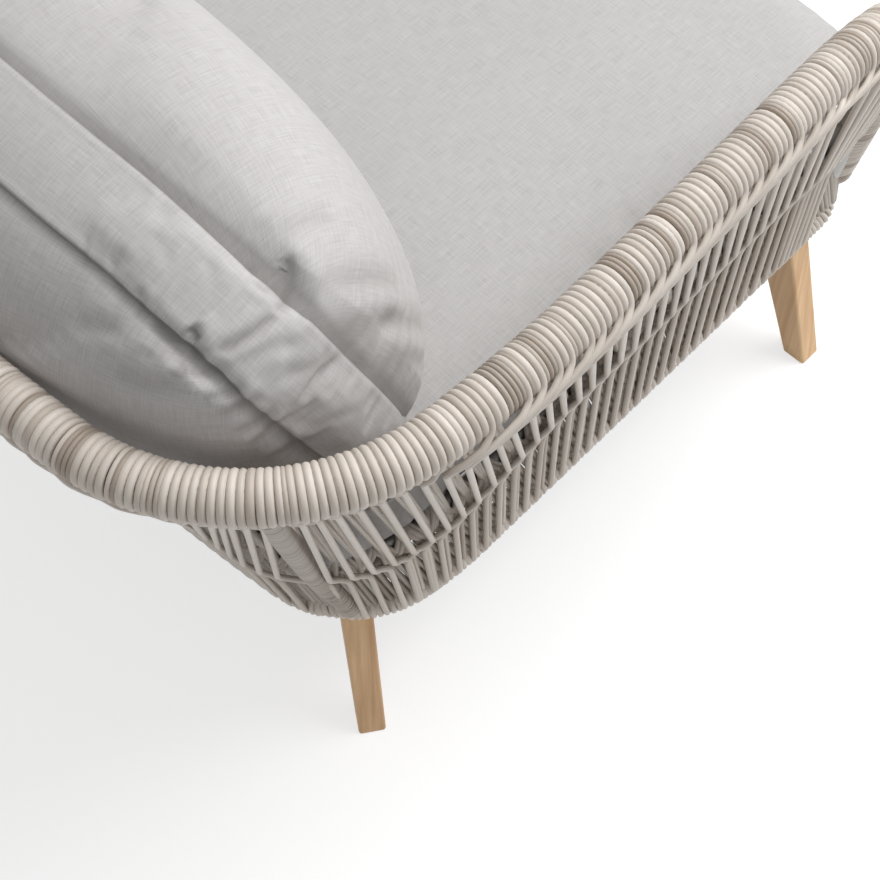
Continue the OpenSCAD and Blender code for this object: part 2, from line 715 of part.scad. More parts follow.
// Inner strands lean the other way, between the braid and the underside of the rail
inner_step = 2 * strand_step;
inner_lift = braid_r + end_gap;
inner_drop = rail_wrap_r + end_gap + strand_r;
inner_arm_clear = 3;
inner_corner_clear = 2;
inner_corner_lean_share = 0.5;
inner_back_lean = 1.5;
function inner_foot(t) = let (p = plan_at(seat, t, belt_end_y)) [p[0], p[1], seat_ring_h + inner_lift];
function inner_top(t) = rail_spot(t) + inner_drop * rail_inward(t);
function misses(t, post_t, span) = abs(t - post_t) > span;
module inner_strands() {
    n = floor(arm_len(seat) / inner_step);
    m = floor(corner_len(rail) / inner_step);
    color("#bfb7ad") {
        for (i = [0.5 : n - 0.5]) {
            t = 2 + i / n;
            if (misses(t, arm_spot, inner_arm_clear / n) && t + lean_share(upper_lean) < 3)
                bar(inner_foot(t), inner_top(t + lean_share(upper_lean)), strand_d, strand_sides);
        }
        for (i = [0.5 : m - 0.5]) {
            t = 1 + i / m;
            if (misses(t, rear_spot, inner_corner_clear / m))
                bar(inner_foot(t), inner_top(t + inner_corner_lean_share / m), strand_d, strand_sides);
        }
    }
}
module inner_strands_right() { inner_strands(); }
module inner_strands_left() { mirror([1, 0, 0]) inner_strands(); }
module inner_strands_back() {
    n = floor(back_len(seat) / inner_step);
    color("#bfb7ad") both() for (i = [inner_back_lean : n - inner_back_lean])
        bar(inner_foot(i / n), inner_top((i + inner_back_lean) / n), strand_d, strand_sides);
}

// Cushions: boxed pillows whose faces swell from the seams like half a ball.
// A shape holds the share by which the top edge bows, the share by which the sides belly,
// and the power of the swell, which is 2 for a round face and more for a flatter one
corner_power = 7;
low_belly_share = 0.4;
draw_in_share = 0.015;
around_n = 56;
dome_n = 6;
dome_end_share = 0.5;
function unit_outline(a, shape) =
    let (c = cos(a), s = sin(a),
        k = pow(pow(abs(c), corner_power) + pow(abs(s), corner_power), -1 / corner_power),
        x = c * k, y = s * k, bow = y > 0 ? shape[0] : -draw_in_share)
    [x * (1 + shape[1] * (1 - y * y) * (1 - low_belly_share * y)), y * (1 + bow * (1 - x * x))];
function swell(p, power) = sqrt(max(0, 1 - pow(abs(p[0]), power)) * max(0, 1 - pow(abs(p[1]), power)));
function pillow_ring(w, h, z, share, crown, shape) = [for (i = [0 : around_n - 1])
    let (a = 360 * i / around_n, u = unit_outline(a, shape) * share,
        c = cos(a), s = sin(a),
        k = share * pow(pow(abs(c), corner_power) + pow(abs(s), corner_power), -1 / corner_power))
    [u[0] * w / 2, u[1] * h / 2, z + crown * swell([c * k, s * k], shape[2])]];
function dome_share(k) = cos(90 * k / (dome_n + dome_end_share));
module pillow(w_up, w_down, h, box, crown_up, crown_down, shape) {
    up = [for (k = [1 : dome_n]) pillow_ring(w_up, h, box / 2, dome_share(k), crown_up, shape)];
    down = [for (k = [dome_n : -1 : 1])
        pillow_ring(w_down, h, -box / 2, dome_share(k), -crown_down, shape)];
    side = [pillow_ring(w_down, h, -box / 2, 1, 0, shape),
        pillow_ring((w_up + w_down) / 2, h, 0, 1 + draw_in_share, 0, shape),
        pillow_ring(w_up, h, box / 2, 1, 0, shape)];
    rings = concat(down, side, up);
    last = len(rings) - 1;
    points = concat([for (r = rings) each r], [[0, 0, -box / 2 - crown_down], [0, 0, box / 2 + crown_up]]);
    low = len(points) - 2;
    high = len(points) - 1;
    faces = concat(
        [for (k = [0 : last - 1]) for (i = [0 : around_n - 1]) let (j = (i + 1) % around_n)
            each [[k * around_n + i, (k + 1) * around_n + i, k * around_n + j],
                [k * around_n + j, (k + 1) * around_n + i, (k + 1) * around_n + j]]],
        [for (i = [0 : around_n - 1]) [low, i, (i + 1) % around_n]],
        [for (i = [0 : around_n - 1])
            [high, last * around_n + (i + 1) % around_n, last * around_n + i]]);
    polyhedron(points, faces, convexity = 4);
}
seat_under = strap_top + rest_gap;
seat_front_gap = 4;
seat_mid_y = ring_front_y + seat_front_gap + seat_depth / 2;
seat_top = seat_under + seat_boxing;
seat_shape_shares = [-draw_in_share, 0, 4];
module seat_cushion() {
    color("#cfccc9") translate([0, seat_mid_y, seat_under + seat_boxing / 2])
        pillow(seat_top_w, seat_w, seat_depth, seat_boxing, seat_crown, 0, seat_shape_shares);
}

// The back cushion stands on the seat cushion and leans against the rail
back_shape_shares = [0.08, 0.07, 2.2];
back_stand = 13;
back_foot_y = 187;
module back_cushion() {
    color("#d2cfcc") translate([0, back_foot_y, seat_top + back_stand]) rotate([90 - back_lean, 0, 0])
        translate([0, back_height / 2, 0])
            pillow(back_w, back_w, back_height, back_boxing, back_front_crown, back_rear_crown,
                back_shape_shares);
}

rail_tube();
rail_wrap_back();
rail_wrap_corner_left();
rail_wrap_corner_right();
rail_wrap_arm_left();
rail_wrap_arm_right();
rail_wrap_front_left();
rail_wrap_front_right();
base_ring();
base_wrap();
seat_ring();
seat_braid();
rear_post_left();
rear_post_right();
arm_post_left();
arm_post_right();
back_post();
post_wraps();
deck_bars();
webbing_long();
webbing_cross();
leg_plates();
leg_bolts();
leg_front_left();
leg_front_right();
leg_rear_left();
leg_rear_right();
glides();
rail_bundle();
seat_bundle();
arm_strands_left();
arm_strands_right();
corner_strands_left();
corner_strands_right();
back_strands();
arm_skirt_left();
arm_skirt_right();
corner_skirt_left();
corner_skirt_right();
back_skirt();
front_skirt();
inner_strands_left();
inner_strands_right();
inner_strands_back();
seat_cushion();
back_cushion();
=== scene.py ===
import bpy
import math
import random
import numpy as np
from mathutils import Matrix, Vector


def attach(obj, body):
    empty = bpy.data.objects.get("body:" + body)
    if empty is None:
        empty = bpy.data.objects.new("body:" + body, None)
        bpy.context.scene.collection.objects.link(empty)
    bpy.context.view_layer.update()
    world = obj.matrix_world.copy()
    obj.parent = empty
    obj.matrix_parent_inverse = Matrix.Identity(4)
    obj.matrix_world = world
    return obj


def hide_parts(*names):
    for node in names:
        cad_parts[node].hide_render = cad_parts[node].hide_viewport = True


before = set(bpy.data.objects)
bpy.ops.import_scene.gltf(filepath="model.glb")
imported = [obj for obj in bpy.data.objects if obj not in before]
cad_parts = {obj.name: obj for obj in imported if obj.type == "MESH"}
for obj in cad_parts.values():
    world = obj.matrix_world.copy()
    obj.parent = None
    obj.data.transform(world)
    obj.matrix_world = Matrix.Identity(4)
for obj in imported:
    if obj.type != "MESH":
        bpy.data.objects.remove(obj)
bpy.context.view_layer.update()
print("frame loaded:", len(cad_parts), "CAD nodes")


# camera: where the photograph was taken from, in metres and degrees
cameraSpot = {"place": (-0.7906, 0.6146, 1.5568), "turn": 44.0, "down": 60.5, "lens": 73.63}


def makeCamera():
    turn, down = math.radians(cameraSpot["turn"]), math.radians(cameraSpot["down"])
    look = Vector((math.sin(turn) * math.cos(down), -math.cos(turn) * math.cos(down), -math.sin(down)))
    data = bpy.data.cameras.new("photoCamera")
    data.sensor_width = 36.0
    data.lens = cameraSpot["lens"]
    data.clip_start, data.clip_end = 0.05, 30.0
    camera = bpy.data.objects.new("photoCamera", data)
    camera.location = cameraSpot["place"]
    camera.rotation_mode = "QUATERNION"
    camera.rotation_quaternion = look.to_track_quat("-Z", "Y")
    bpy.context.scene.collection.objects.link(camera)
    bpy.context.scene.camera = camera


makeCamera()
print("camera placed")


# the chair's own curves, repeated from the construction in metres
widestY = 0.109
railCurve = {"halfW": 0.406, "backY": 0.391, "corner": 0.186, "backBow": 2.4, "sideBow": 1.24, "toe": 2.1}
baseCurve = {"halfW": 0.340, "backY": 0.261, "corner": 0.095, "backBow": 2.2, "sideBow": 0.33, "toe": 0.5}
seatCurve = {"halfW": 0.326, "backY": 0.267, "corner": 0.095, "backBow": 2.2, "sideBow": 0.33, "toe": 0.5}
chair = {
    "railZ": 0.573, "baseZ": 0.184, "seatZ": 0.262, "frontReach": 0.375, "bendR": 0.195, "bendDeg": 86.0,
    "frontR": 0.034, "seatIn": 0.024, "railR": 0.0135, "ringR": 0.008, "strand": 0.0055, "gap": 0.0003,
    "braid": 0.004,
}
strandR = chair["strand"] / 2
railWrapR = chair["railR"] + chair["gap"] + chair["strand"]
baseWrapR = chair["ringR"] + chair["strand"]
braidR = chair["ringR"] + chair["gap"] + chair["braid"]


def grown(curve, by):
    wider = dict(curve)
    for key in ("halfW", "backY", "corner", "backBow", "sideBow"):
        wider[key] = curve[key] + by
    return wider


def arcsOf(curve):
    backC = np.array([0.0, curve["backY"] - curve["backBow"]])
    sideC = np.array([curve["sideBow"] - curve["halfW"], widestY])
    a, b = curve["backBow"] - curve["corner"], curve["sideBow"] - curve["corner"]
    d = np.linalg.norm(sideC - backC)
    along = (a * a - b * b + d * d) / (2 * d)
    off = math.sqrt(a * a - along * along)
    u = (sideC - backC) / d
    cornerC = backC + u * along + np.array([-u[1], u[0]]) * off
    backEnd = math.atan2(*(cornerC - backC)[::-1])
    sideStart = math.atan2(*(cornerC - sideC)[::-1])
    return backC, sideC, cornerC, backEnd, sideStart


def onArc(centre, r, a):
    return centre + r * np.array([math.cos(a), math.sin(a)])


def sideEnd(curve):
    return onArc(arcsOf(curve)[1], curve["sideBow"], math.pi + math.radians(curve["toe"]))


def onStraight(curve, y):
    end = sideEnd(curve)
    return end + (end[1] - y) * np.array([math.tan(math.radians(curve["toe"])), -1.0])


def cornerY(curve):
    _, sideC, _, _, sideStart = arcsOf(curve)
    return onArc(sideC, curve["sideBow"], sideStart)[1]


def planAngle(curve, t, endY):
    _, _, _, backEnd, sideStart = arcsOf(curve)
    if t <= 1:
        return math.pi / 2 + (backEnd - math.pi / 2) * t
    if t <= 2:
        return backEnd + (sideStart - backEnd) * (t - 1)
    y = cornerY(curve) + (endY - cornerY(curve)) * (t - 2)
    if y > sideEnd(curve)[1]:
        return math.pi - math.asin((y - widestY) / curve["sideBow"])
    return math.pi + math.radians(curve["toe"])


def planAt(curve, t, endY):
    backC, sideC, cornerC, _, _ = arcsOf(curve)
    a = planAngle(curve, t, endY)
    if t <= 1:
        return onArc(backC, curve["backBow"], a)
    if t <= 2:
        return onArc(cornerC, curve["corner"], a)
    y = cornerY(curve) + (endY - cornerY(curve)) * (t - 2)
    return onArc(sideC, curve["sideBow"], a) if y > sideEnd(curve)[1] else onStraight(curve, y)


def unit(v):
    return v / np.linalg.norm(v)


# the front bend turns down in a plane that leans with the wall
toe = math.radians(railCurve["toe"])
bendStart = onStraight(railCurve, -chair["frontReach"] + chair["bendR"])
cornerShare = 1 - math.cos(math.radians(45))
postFootX = onStraight(baseCurve, -chair["frontReach"])[0] + chair["frontR"] * cornerShare
wallLean = math.atan((postFootX - bendStart[0]) / (chair["railZ"] - chair["baseZ"]))
armHeading = np.array([math.sin(toe), -math.cos(toe), 0.0])
downWay = np.array([math.sin(wallLean) * math.cos(toe), math.sin(wallLean) * math.sin(toe),
                    -math.cos(wallLean)])
bendCentre = np.array([bendStart[0], bendStart[1], chair["railZ"]]) + chair["bendR"] * downWay


def bendAt(a):
    return bendCentre + chair["bendR"] * (armHeading * math.sin(a) - downWay * math.cos(a))


def bendWay(a):
    return armHeading * math.cos(a) + downWay * math.sin(a)


bendEnd = math.radians(chair["bendDeg"])
postTop, postWay = bendAt(bendEnd), bendWay(bendEnd)
postFoot = postTop + postWay * (postTop[2] - chair["baseZ"]) / -postWay[2]
ringFrontY = postFoot[1] - chair["frontR"] * cornerShare
seatFrontY = ringFrontY + chair["seatIn"]
beltEndY = ringFrontY + chair["frontR"] + railWrapR


# place, forward, outward and upward at a place on the rail, 0 at the middle of the back
def railFrame(t):
    a = planAngle(railCurve, t, postTop[1])
    out = np.array([math.cos(a), math.sin(a), 0.0])
    if t > 2:
        y = cornerY(railCurve) + (postTop[1] - cornerY(railCurve)) * (t - 2)
        if y < bendStart[1]:
            turn = min(bendEnd, math.asin(min(1.0, (bendStart[1] - y) / chair["bendR"])))
            up = armHeading * math.sin(turn) - downWay * math.cos(turn)
            return bendAt(turn), bendWay(turn), unit(out - up * np.dot(out, up)), up
    p = planAt(railCurve, t, postTop[1])
    way = np.array([-math.sin(a), math.cos(a), 0.0])
    return np.array([p[0], p[1], chair["railZ"]]), way, out, np.array([0.0, 0.0, 1.0])


def lengths(pointOf, last=3.0, n=600):
    places = np.linspace(0.0, last, n)
    points = np.array([pointOf(t) for t in places])
    steps = np.linalg.norm(np.diff(points, axis=0), axis=1)
    return places, np.concatenate([[0.0], np.cumsum(steps)])


beltCurve = grown(seatCurve, braidR + strandR + chair["gap"])
beltPlaces, beltRun = lengths(lambda t: np.append(planAt(beltCurve, t, beltEndY), 0.0), 3.08)
railPlaces, railRun = lengths(lambda t: railFrame(t)[0])


def beltPlace(run):
    return float(np.interp(run, beltRun, beltPlaces))


def railPlace(run):
    return float(np.interp(run, railRun, railPlaces))


def railRunAt(t):
    return float(np.interp(t, railPlaces, railRun))


def ringPoint(curve, t, z, out=0.0, endY=None):
    endY = beltEndY if endY is None else endY
    p = planAt(curve, t, endY)
    a = planAngle(curve, t, endY)
    return np.array([p[0] + out * math.cos(a), p[1] + out * math.sin(a), z])


# Geometry Nodes helpers
def addNode(tree, kind, props=None, values=None):
    node = tree.nodes.new(kind)
    for key, value in (props or {}).items():
        setattr(node, key, value)
    for key, value in (values or {}).items():
        node.inputs[key].default_value = value
    return node


def newTree(name, sockets):
    tree = bpy.data.node_groups.new(name, "GeometryNodeTree")
    tree.is_modifier = True
    tree.interface.new_socket(name="Geometry", in_out="INPUT", socket_type="NodeSocketGeometry")
    for label, kind, value in sockets:
        socket = tree.interface.new_socket(name=label, in_out="INPUT", socket_type=kind)
        if value is not None:
            socket.default_value = value
    tree.interface.new_socket(name="Geometry", in_out="OUTPUT", socket_type="NodeSocketGeometry")
    return tree, tree.nodes.new("NodeGroupInput"), tree.nodes.new("NodeGroupOutput")


# realize, shade smooth and give the material: the last steps of each tree
def finishTree(tree, source, given, result):
    realize = tree.nodes.new("GeometryNodeRealizeInstances")
    smooth = tree.nodes.new("GeometryNodeSetShadeSmooth")
    paint = tree.nodes.new("GeometryNodeSetMaterial")
    tree.links.new(source, realize.inputs["Geometry"])
    tree.links.new(realize.outputs["Geometry"], smooth.inputs["Geometry"])
    tree.links.new(smooth.outputs["Geometry"], paint.inputs["Geometry"])
    tree.links.new(given.outputs["Material"], paint.inputs["Material"])
    tree.links.new(paint.outputs["Geometry"], result.inputs["Geometry"])


def storeFloat(tree, source, value, name, domain="POINT"):
    store = addNode(tree, "GeometryNodeStoreNamedAttribute", {"data_type": "FLOAT", "domain": domain},
                    {"Name": name})
    tree.links.new(source, store.inputs["Geometry"])
    tree.links.new(value, store.inputs["Value"])
    return store.outputs["Geometry"]


def namedValue(tree, name, kind="FLOAT"):
    node = addNode(tree, "GeometryNodeInputNamedAttribute", {"data_type": kind}, {"Name": name})
    return node.outputs["Attribute"]


def mathNode(tree, operation, *inputs):
    node = addNode(tree, "ShaderNodeMath", {"operation": operation})
    for i, value in enumerate(inputs):
        if isinstance(value, (int, float)):
            node.inputs[i].default_value = value
        else:
            tree.links.new(value, node.inputs[i])
    return node.outputs[0]


# turns of strand on guide points, square to each point's way, leaning by Slant
def turnTree():
    tree, given, result = newTree("strandTurns", [
        ("Turn Radius", "NodeSocketFloat", 0.0165), ("Strand Diameter", "NodeSocketFloat", 0.0055),
        ("Faces Around", "NodeSocketInt", 24), ("Faces Across", "NodeSocketInt", 6),
        ("Slant", "NodeSocketFloat", 0.0), ("Tilt", "NodeSocketFloat", 0.03),
        ("Tone Spread", "NodeSocketFloat", 0.5), ("Seed", "NodeSocketInt", 1),
        ("Material", "NodeSocketMaterial", None)])
    link = tree.links.new
    ring = addNode(tree, "GeometryNodeCurvePrimitiveCircle", {"mode": "RADIUS"})
    link(given.outputs["Faces Around"], ring.inputs["Resolution"])
    link(given.outputs["Turn Radius"], ring.inputs["Radius"])
    factor = tree.nodes.new("GeometryNodeSplineParameter")
    along = storeFloat(tree, ring.outputs["Curve"], factor.outputs["Length"], "along")
    section = addNode(tree, "GeometryNodeCurvePrimitiveCircle", {"mode": "RADIUS"})
    link(given.outputs["Faces Across"], section.inputs["Resolution"])
    link(mathNode(tree, "MULTIPLY", given.outputs["Strand Diameter"], 0.5), section.inputs["Radius"])
    across = storeFloat(tree, section.outputs["Curve"],
                        tree.nodes.new("GeometryNodeSplineParameter").outputs["Length"], "across")
    sweep = tree.nodes.new("GeometryNodeCurveToMesh")
    link(along, sweep.inputs["Curve"])
    link(across, sweep.inputs["Profile Curve"])
    place = tree.nodes.new("GeometryNodeInputPosition")
    parts = tree.nodes.new("ShaderNodeSeparateXYZ")
    link(place.outputs["Position"], parts.inputs[0])
    lean = tree.nodes.new("ShaderNodeCombineXYZ")
    link(mathNode(tree, "MULTIPLY", parts.outputs["Y"], given.outputs["Slant"]), lean.inputs["Z"])
    shear = tree.nodes.new("GeometryNodeSetPosition")
    link(sweep.outputs["Mesh"], shear.inputs["Geometry"])
    link(lean.outputs[0], shear.inputs["Offset"])
    wobble = addNode(tree, "FunctionNodeRandomValue", {"data_type": "FLOAT_VECTOR"},
                     {"Min": (-1.0, -1.0, -1.0), "Max": (1.0, 1.0, 1.0)})
    link(given.outputs["Seed"], wobble.inputs["Seed"])
    scaled = addNode(tree, "ShaderNodeVectorMath", {"operation": "SCALE"})
    link(wobble.outputs[0], scaled.inputs[0])
    link(given.outputs["Tilt"], scaled.inputs["Scale"])
    heading = addNode(tree, "ShaderNodeVectorMath", {"operation": "ADD"})
    link(namedValue(tree, "way", "FLOAT_VECTOR"), heading.inputs[0])
    link(scaled.outputs[0], heading.inputs[1])
    facing = addNode(tree, "FunctionNodeAlignRotationToVector", {"axis": "Z"})
    link(heading.outputs[0], facing.inputs["Vector"])
    rolled = addNode(tree, "FunctionNodeAlignRotationToVector", {"axis": "X", "pivot_axis": "Z"})
    link(facing.outputs[0], rolled.inputs["Rotation"])
    link(namedValue(tree, "out", "FLOAT_VECTOR"), rolled.inputs["Vector"])
    size = tree.nodes.new("ShaderNodeCombineXYZ")
    girth = namedValue(tree, "girth")
    link(girth, size.inputs["X"])
    link(girth, size.inputs["Y"])
    link(namedValue(tree, "breadth"), size.inputs["Z"])
    placed = tree.nodes.new("GeometryNodeInstanceOnPoints")
    link(given.outputs["Geometry"], placed.inputs["Points"])
    link(shear.outputs["Geometry"], placed.inputs["Instance"])
    link(rolled.outputs[0], placed.inputs["Rotation"])
    link(size.outputs[0], placed.inputs["Scale"])
    chance = addNode(tree, "FunctionNodeRandomValue", {"data_type": "FLOAT"})
    chance.inputs[2].default_value, chance.inputs[3].default_value = -0.5, 0.5
    link(given.outputs["Seed"], chance.inputs["Seed"])
    spread = mathNode(tree, "MULTIPLY", chance.outputs[1], given.outputs["Tone Spread"])
    tint = mathNode(tree, "ADD", spread, namedValue(tree, "tone"))
    toned = storeFloat(tree, placed.outputs["Instances"], tint, "tint", "INSTANCE")
    finishTree(tree, toned, given, result)
    return tree


# a strand swept along each guide line; a lobed and twisted one looks like rope
def strandTree(name, lobed):
    tree, given, result = newTree(name, [
        ("Strand Diameter", "NodeSocketFloat", 0.0055), ("Faces Across", "NodeSocketInt", 8),
        ("Twist", "NodeSocketFloat", 0.0), ("Material", "NodeSocketMaterial", None)])
    link = tree.links.new
    line = tree.nodes.new("GeometryNodeMeshToCurve")
    link(given.outputs["Geometry"], line.inputs["Mesh"])
    run = tree.nodes.new("GeometryNodeSplineParameter").outputs["Length"]
    along = storeFloat(tree, line.outputs["Curve"], run, "along")
    twisted = tree.nodes.new("GeometryNodeSetCurveTilt")
    link(along, twisted.inputs["Curve"])
    link(mathNode(tree, "MULTIPLY", run, given.outputs["Twist"]), twisted.inputs["Tilt"])
    radius = mathNode(tree, "MULTIPLY", given.outputs["Strand Diameter"], 0.5)
    if lobed:
        section = tree.nodes.new("GeometryNodeCurveStar")
        link(given.outputs["Faces Across"], section.inputs["Points"])
        link(radius, section.inputs["Outer Radius"])
        link(mathNode(tree, "MULTIPLY", radius, 0.62), section.inputs["Inner Radius"])
    else:
        section = addNode(tree, "GeometryNodeCurvePrimitiveCircle", {"mode": "RADIUS"})
        link(given.outputs["Faces Across"], section.inputs["Resolution"])
        link(radius, section.inputs["Radius"])
    across = storeFloat(tree, section.outputs["Curve"],
                        tree.nodes.new("GeometryNodeSplineParameter").outputs["Length"], "across")
    sweep = addNode(tree, "GeometryNodeCurveToMesh", None, {"Fill Caps": True})
    link(twisted.outputs["Curve"], sweep.inputs["Curve"])
    link(across, sweep.inputs["Profile Curve"])
    finishTree(tree, sweep.outputs["Mesh"], given, result)
    return tree


def guideMesh(name, points, edges=(), floats=None, vectors=None):
    mesh = bpy.data.meshes.new(name)
    mesh.from_pydata([tuple(p) for p in points], [tuple(e) for e in edges], [])
    for key, values in (floats or {}).items():
        layer = mesh.attributes.new(key, "FLOAT", "POINT")
        layer.data.foreach_set("value", np.asarray(values, np.float32))
    for key, values in (vectors or {}).items():
        layer = mesh.attributes.new(key, "FLOAT_VECTOR", "POINT")
        layer.data.foreach_set("vector", np.asarray(values, np.float32).ravel())
    return mesh


# runs a tree on its guide and keeps the result as a plain mesh piece
def grow(name, mesh, tree, values, replaced, body="root"):
    guide = bpy.data.objects.new(name + "Guide", mesh)
    bpy.context.scene.collection.objects.link(guide)
    modifier = guide.modifiers.new("grow", "NODES")
    modifier.node_group = tree
    for item in tree.interface.items_tree:
        if item.item_type == "SOCKET" and item.in_out == "INPUT" and item.name in values:
            modifier[item.identifier] = values[item.name]
    bpy.context.view_layer.update()
    made = bpy.data.meshes.new_from_object(guide.evaluated_get(bpy.context.evaluated_depsgraph_get()))
    bpy.data.objects.remove(guide)
    piece = bpy.data.objects.new(name, made)
    made.name = name
    bpy.context.scene.collection.objects.link(piece)
    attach(piece, body)
    if replaced:
        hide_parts(*replaced)
    print(name, len(made.polygons), "faces")
    return piece


turnsOfStrand = turnTree()
roundStrand = strandTree("roundStrand", False)
ropeStrand = strandTree("ropeStrand", True)


# shared finish groups
def newGroup(name, inputs, outputs):
    tree = bpy.data.node_groups.new(name, "ShaderNodeTree")
    for label, kind, value in inputs:
        socket = tree.interface.new_socket(name=label, in_out="INPUT", socket_type=kind)
        if value is not None:
            socket.default_value = value
    for label, kind in outputs:
        tree.interface.new_socket(name=label, in_out="OUTPUT", socket_type=kind)
    return tree, tree.nodes.new("NodeGroupInput"), tree.nodes.new("NodeGroupOutput")


def ramp(tree, source, stops):
    node = tree.nodes.new("ShaderNodeValToRGB")
    while len(node.color_ramp.elements) < len(stops):
        node.color_ramp.elements.new(0.5)
    for element, (place, value) in zip(node.color_ramp.elements, stops):
        element.position = place
        element.color = value if len(value) == 4 else (*value, 1.0)
    tree.links.new(source, node.inputs["Fac"])
    return node.outputs["Color"]


def grey(v):
    return (v, v, v)


def srgb(r, g, b):
    def one(c):
        c = c / 255
        return c / 12.92 if c <= 0.04045 else ((c + 0.055) / 1.055) ** 2.4
    return (one(r), one(g), one(b))


def mixColour(tree, kind, fac, a, b):
    node = addNode(tree, "ShaderNodeMix", {"data_type": "RGBA", "blend_type": kind})
    for socket, value in ((node.inputs[0], fac), (node.inputs[6], a), (node.inputs[7], b)):
        if isinstance(value, (int, float)):
            socket.default_value = value
        elif isinstance(value, tuple):
            socket.default_value = value if len(value) == 4 else (*value, 1.0)
        else:
            tree.links.new(value, socket)
    return node.outputs[2]


def scaledVector(tree, vector, scale, add=None):
    node = addNode(tree, "ShaderNodeVectorMath", {"operation": "MULTIPLY"})
    tree.links.new(vector, node.inputs[0])
    node.inputs[1].default_value = scale
    if add is None:
        return node.outputs[0]
    shifted = addNode(tree, "ShaderNodeVectorMath", {"operation": "ADD"})
    tree.links.new(node.outputs[0], shifted.inputs[0])
    tree.links.new(add, shifted.inputs[1])
    return shifted.outputs[0]


def noiseOn(tree, vector, scale, detail=2.0, rough=0.5):
    node = addNode(tree, "ShaderNodeTexNoise", None, {"Scale": scale, "Detail": detail, "Roughness": rough})
    tree.links.new(vector, node.inputs["Vector"])
    return node.outputs["Fac"]


# fine streaks that run one way, for drawn resin and for straight grain
def streaksGroup():
    tree, given, result = newGroup("fineStreaks",
        [("Vector", "NodeSocketVector", None), ("Across Scale", "NodeSocketFloat", 900.0),
         ("Along Scale", "NodeSocketFloat", 12.0), ("Contrast", "NodeSocketFloat", 0.5)],
        [("Streak", "NodeSocketFloat"), ("Broad", "NodeSocketFloat")])
    link = tree.links.new
    parts = tree.nodes.new("ShaderNodeSeparateXYZ")
    link(given.outputs["Vector"], parts.inputs[0])
    stretched = tree.nodes.new("ShaderNodeCombineXYZ")
    link(mathNode(tree, "MULTIPLY", parts.outputs["X"], given.outputs["Across Scale"]), stretched.inputs["X"])
    link(mathNode(tree, "MULTIPLY", parts.outputs["Y"], given.outputs["Along Scale"]), stretched.inputs["Y"])
    link(parts.outputs["Z"], stretched.inputs["Z"])
    fine = noiseOn(tree, stretched.outputs[0], 1.0, 3.0, 0.6)
    broad = noiseOn(tree, stretched.outputs[0], 0.27, 1.0, 0.5)
    centred = mathNode(tree, "SUBTRACT", fine, 0.5)
    spread = mathNode(tree, "MULTIPLY", centred, given.outputs["Contrast"])
    link(mathNode(tree, "ADD", spread, 0.5), result.inputs["Streak"])
    link(broad, result.inputs["Broad"])
    return tree


# soft patches of dust and handling, by place on the object
def dustGroup():
    tree, given, result = newGroup("softDust",
        [("Vector", "NodeSocketVector", None), ("Color", "NodeSocketColor", (0.5, 0.5, 0.5, 1.0)),
         ("Dust Color", "NodeSocketColor", (0.6, 0.58, 0.55, 1.0)), ("Amount", "NodeSocketFloat", 0.15),
         ("Scale", "NodeSocketFloat", 9.0)],
        [("Color", "NodeSocketColor"), ("Mask", "NodeSocketFloat")])
    link = tree.links.new
    noise = tree.nodes.new("ShaderNodeTexNoise")
    noise.inputs["Detail"].default_value = 5.0
    link(given.outputs["Vector"], noise.inputs["Vector"])
    link(given.outputs["Scale"], noise.inputs["Scale"])
    patch = ramp(tree, noise.outputs["Fac"], [(0.42, grey(0.0)), (0.68, grey(1.0))])
    mask = mathNode(tree, "MULTIPLY", patch, given.outputs["Amount"])
    link(mixColour(tree, "MIX", mask, given.outputs["Color"], given.outputs["Dust Color"]),
         result.inputs["Color"])
    link(mask, result.inputs["Mask"])
    return tree


# plain weave with slubs, on a vector in metres of cloth
def weaveGroup():
    tree, given, result = newGroup("plainWeave",
        [("Vector", "NodeSocketVector", None), ("Threads", "NodeSocketFloat", 1100.0),
         ("Slub", "NodeSocketFloat", 0.5)],
        [("Height", "NodeSocketFloat"), ("Shade", "NodeSocketFloat"), ("Slubs", "NodeSocketFloat")])
    link = tree.links.new
    parts = tree.nodes.new("ShaderNodeSeparateXYZ")
    link(given.outputs["Vector"], parts.inputs[0])
    u = mathNode(tree, "MULTIPLY", parts.outputs["X"], given.outputs["Threads"])
    v = mathNode(tree, "MULTIPLY", parts.outputs["Y"], given.outputs["Threads"])
    waveU = mathNode(tree, "SINE", mathNode(tree, "MULTIPLY", u, math.pi))
    waveV = mathNode(tree, "SINE", mathNode(tree, "MULTIPLY", v, math.pi))
    height = mathNode(tree, "ADD", mathNode(tree, "ABSOLUTE", waveU), mathNode(tree, "ABSOLUTE", waveV))
    longU = noiseOn(tree, scaledVector(tree, given.outputs["Vector"], (52.0, 900.0, 1.0)), 1.0, 2.0, 0.6)
    longV = noiseOn(tree, scaledVector(tree, given.outputs["Vector"], (900.0, 46.0, 1.0)), 1.0, 2.0, 0.6)
    slubs = mathNode(tree, "ADD", longU, longV)
    link(mathNode(tree, "MULTIPLY", height, 0.5), result.inputs["Height"])
    link(mathNode(tree, "MULTIPLY", slubs, 0.5), result.inputs["Shade"])
    strong = ramp(tree, slubs, [(0.56, grey(0.0)), (0.68, grey(1.0))])
    link(mathNode(tree, "MULTIPLY", strong, given.outputs["Slub"]), result.inputs["Slubs"])
    return tree


fineStreaks, softDust, plainWeave = streaksGroup(), dustGroup(), weaveGroup()


def newMaterial(name):
    material = bpy.data.materials.new(name)
    material.use_nodes = True
    tree = material.node_tree
    tree.nodes.clear()
    shader = tree.nodes.new("ShaderNodeBsdfPrincipled")
    output = tree.nodes.new("ShaderNodeOutputMaterial")
    tree.links.new(shader.outputs[0], output.inputs["Surface"])
    return material, tree, shader


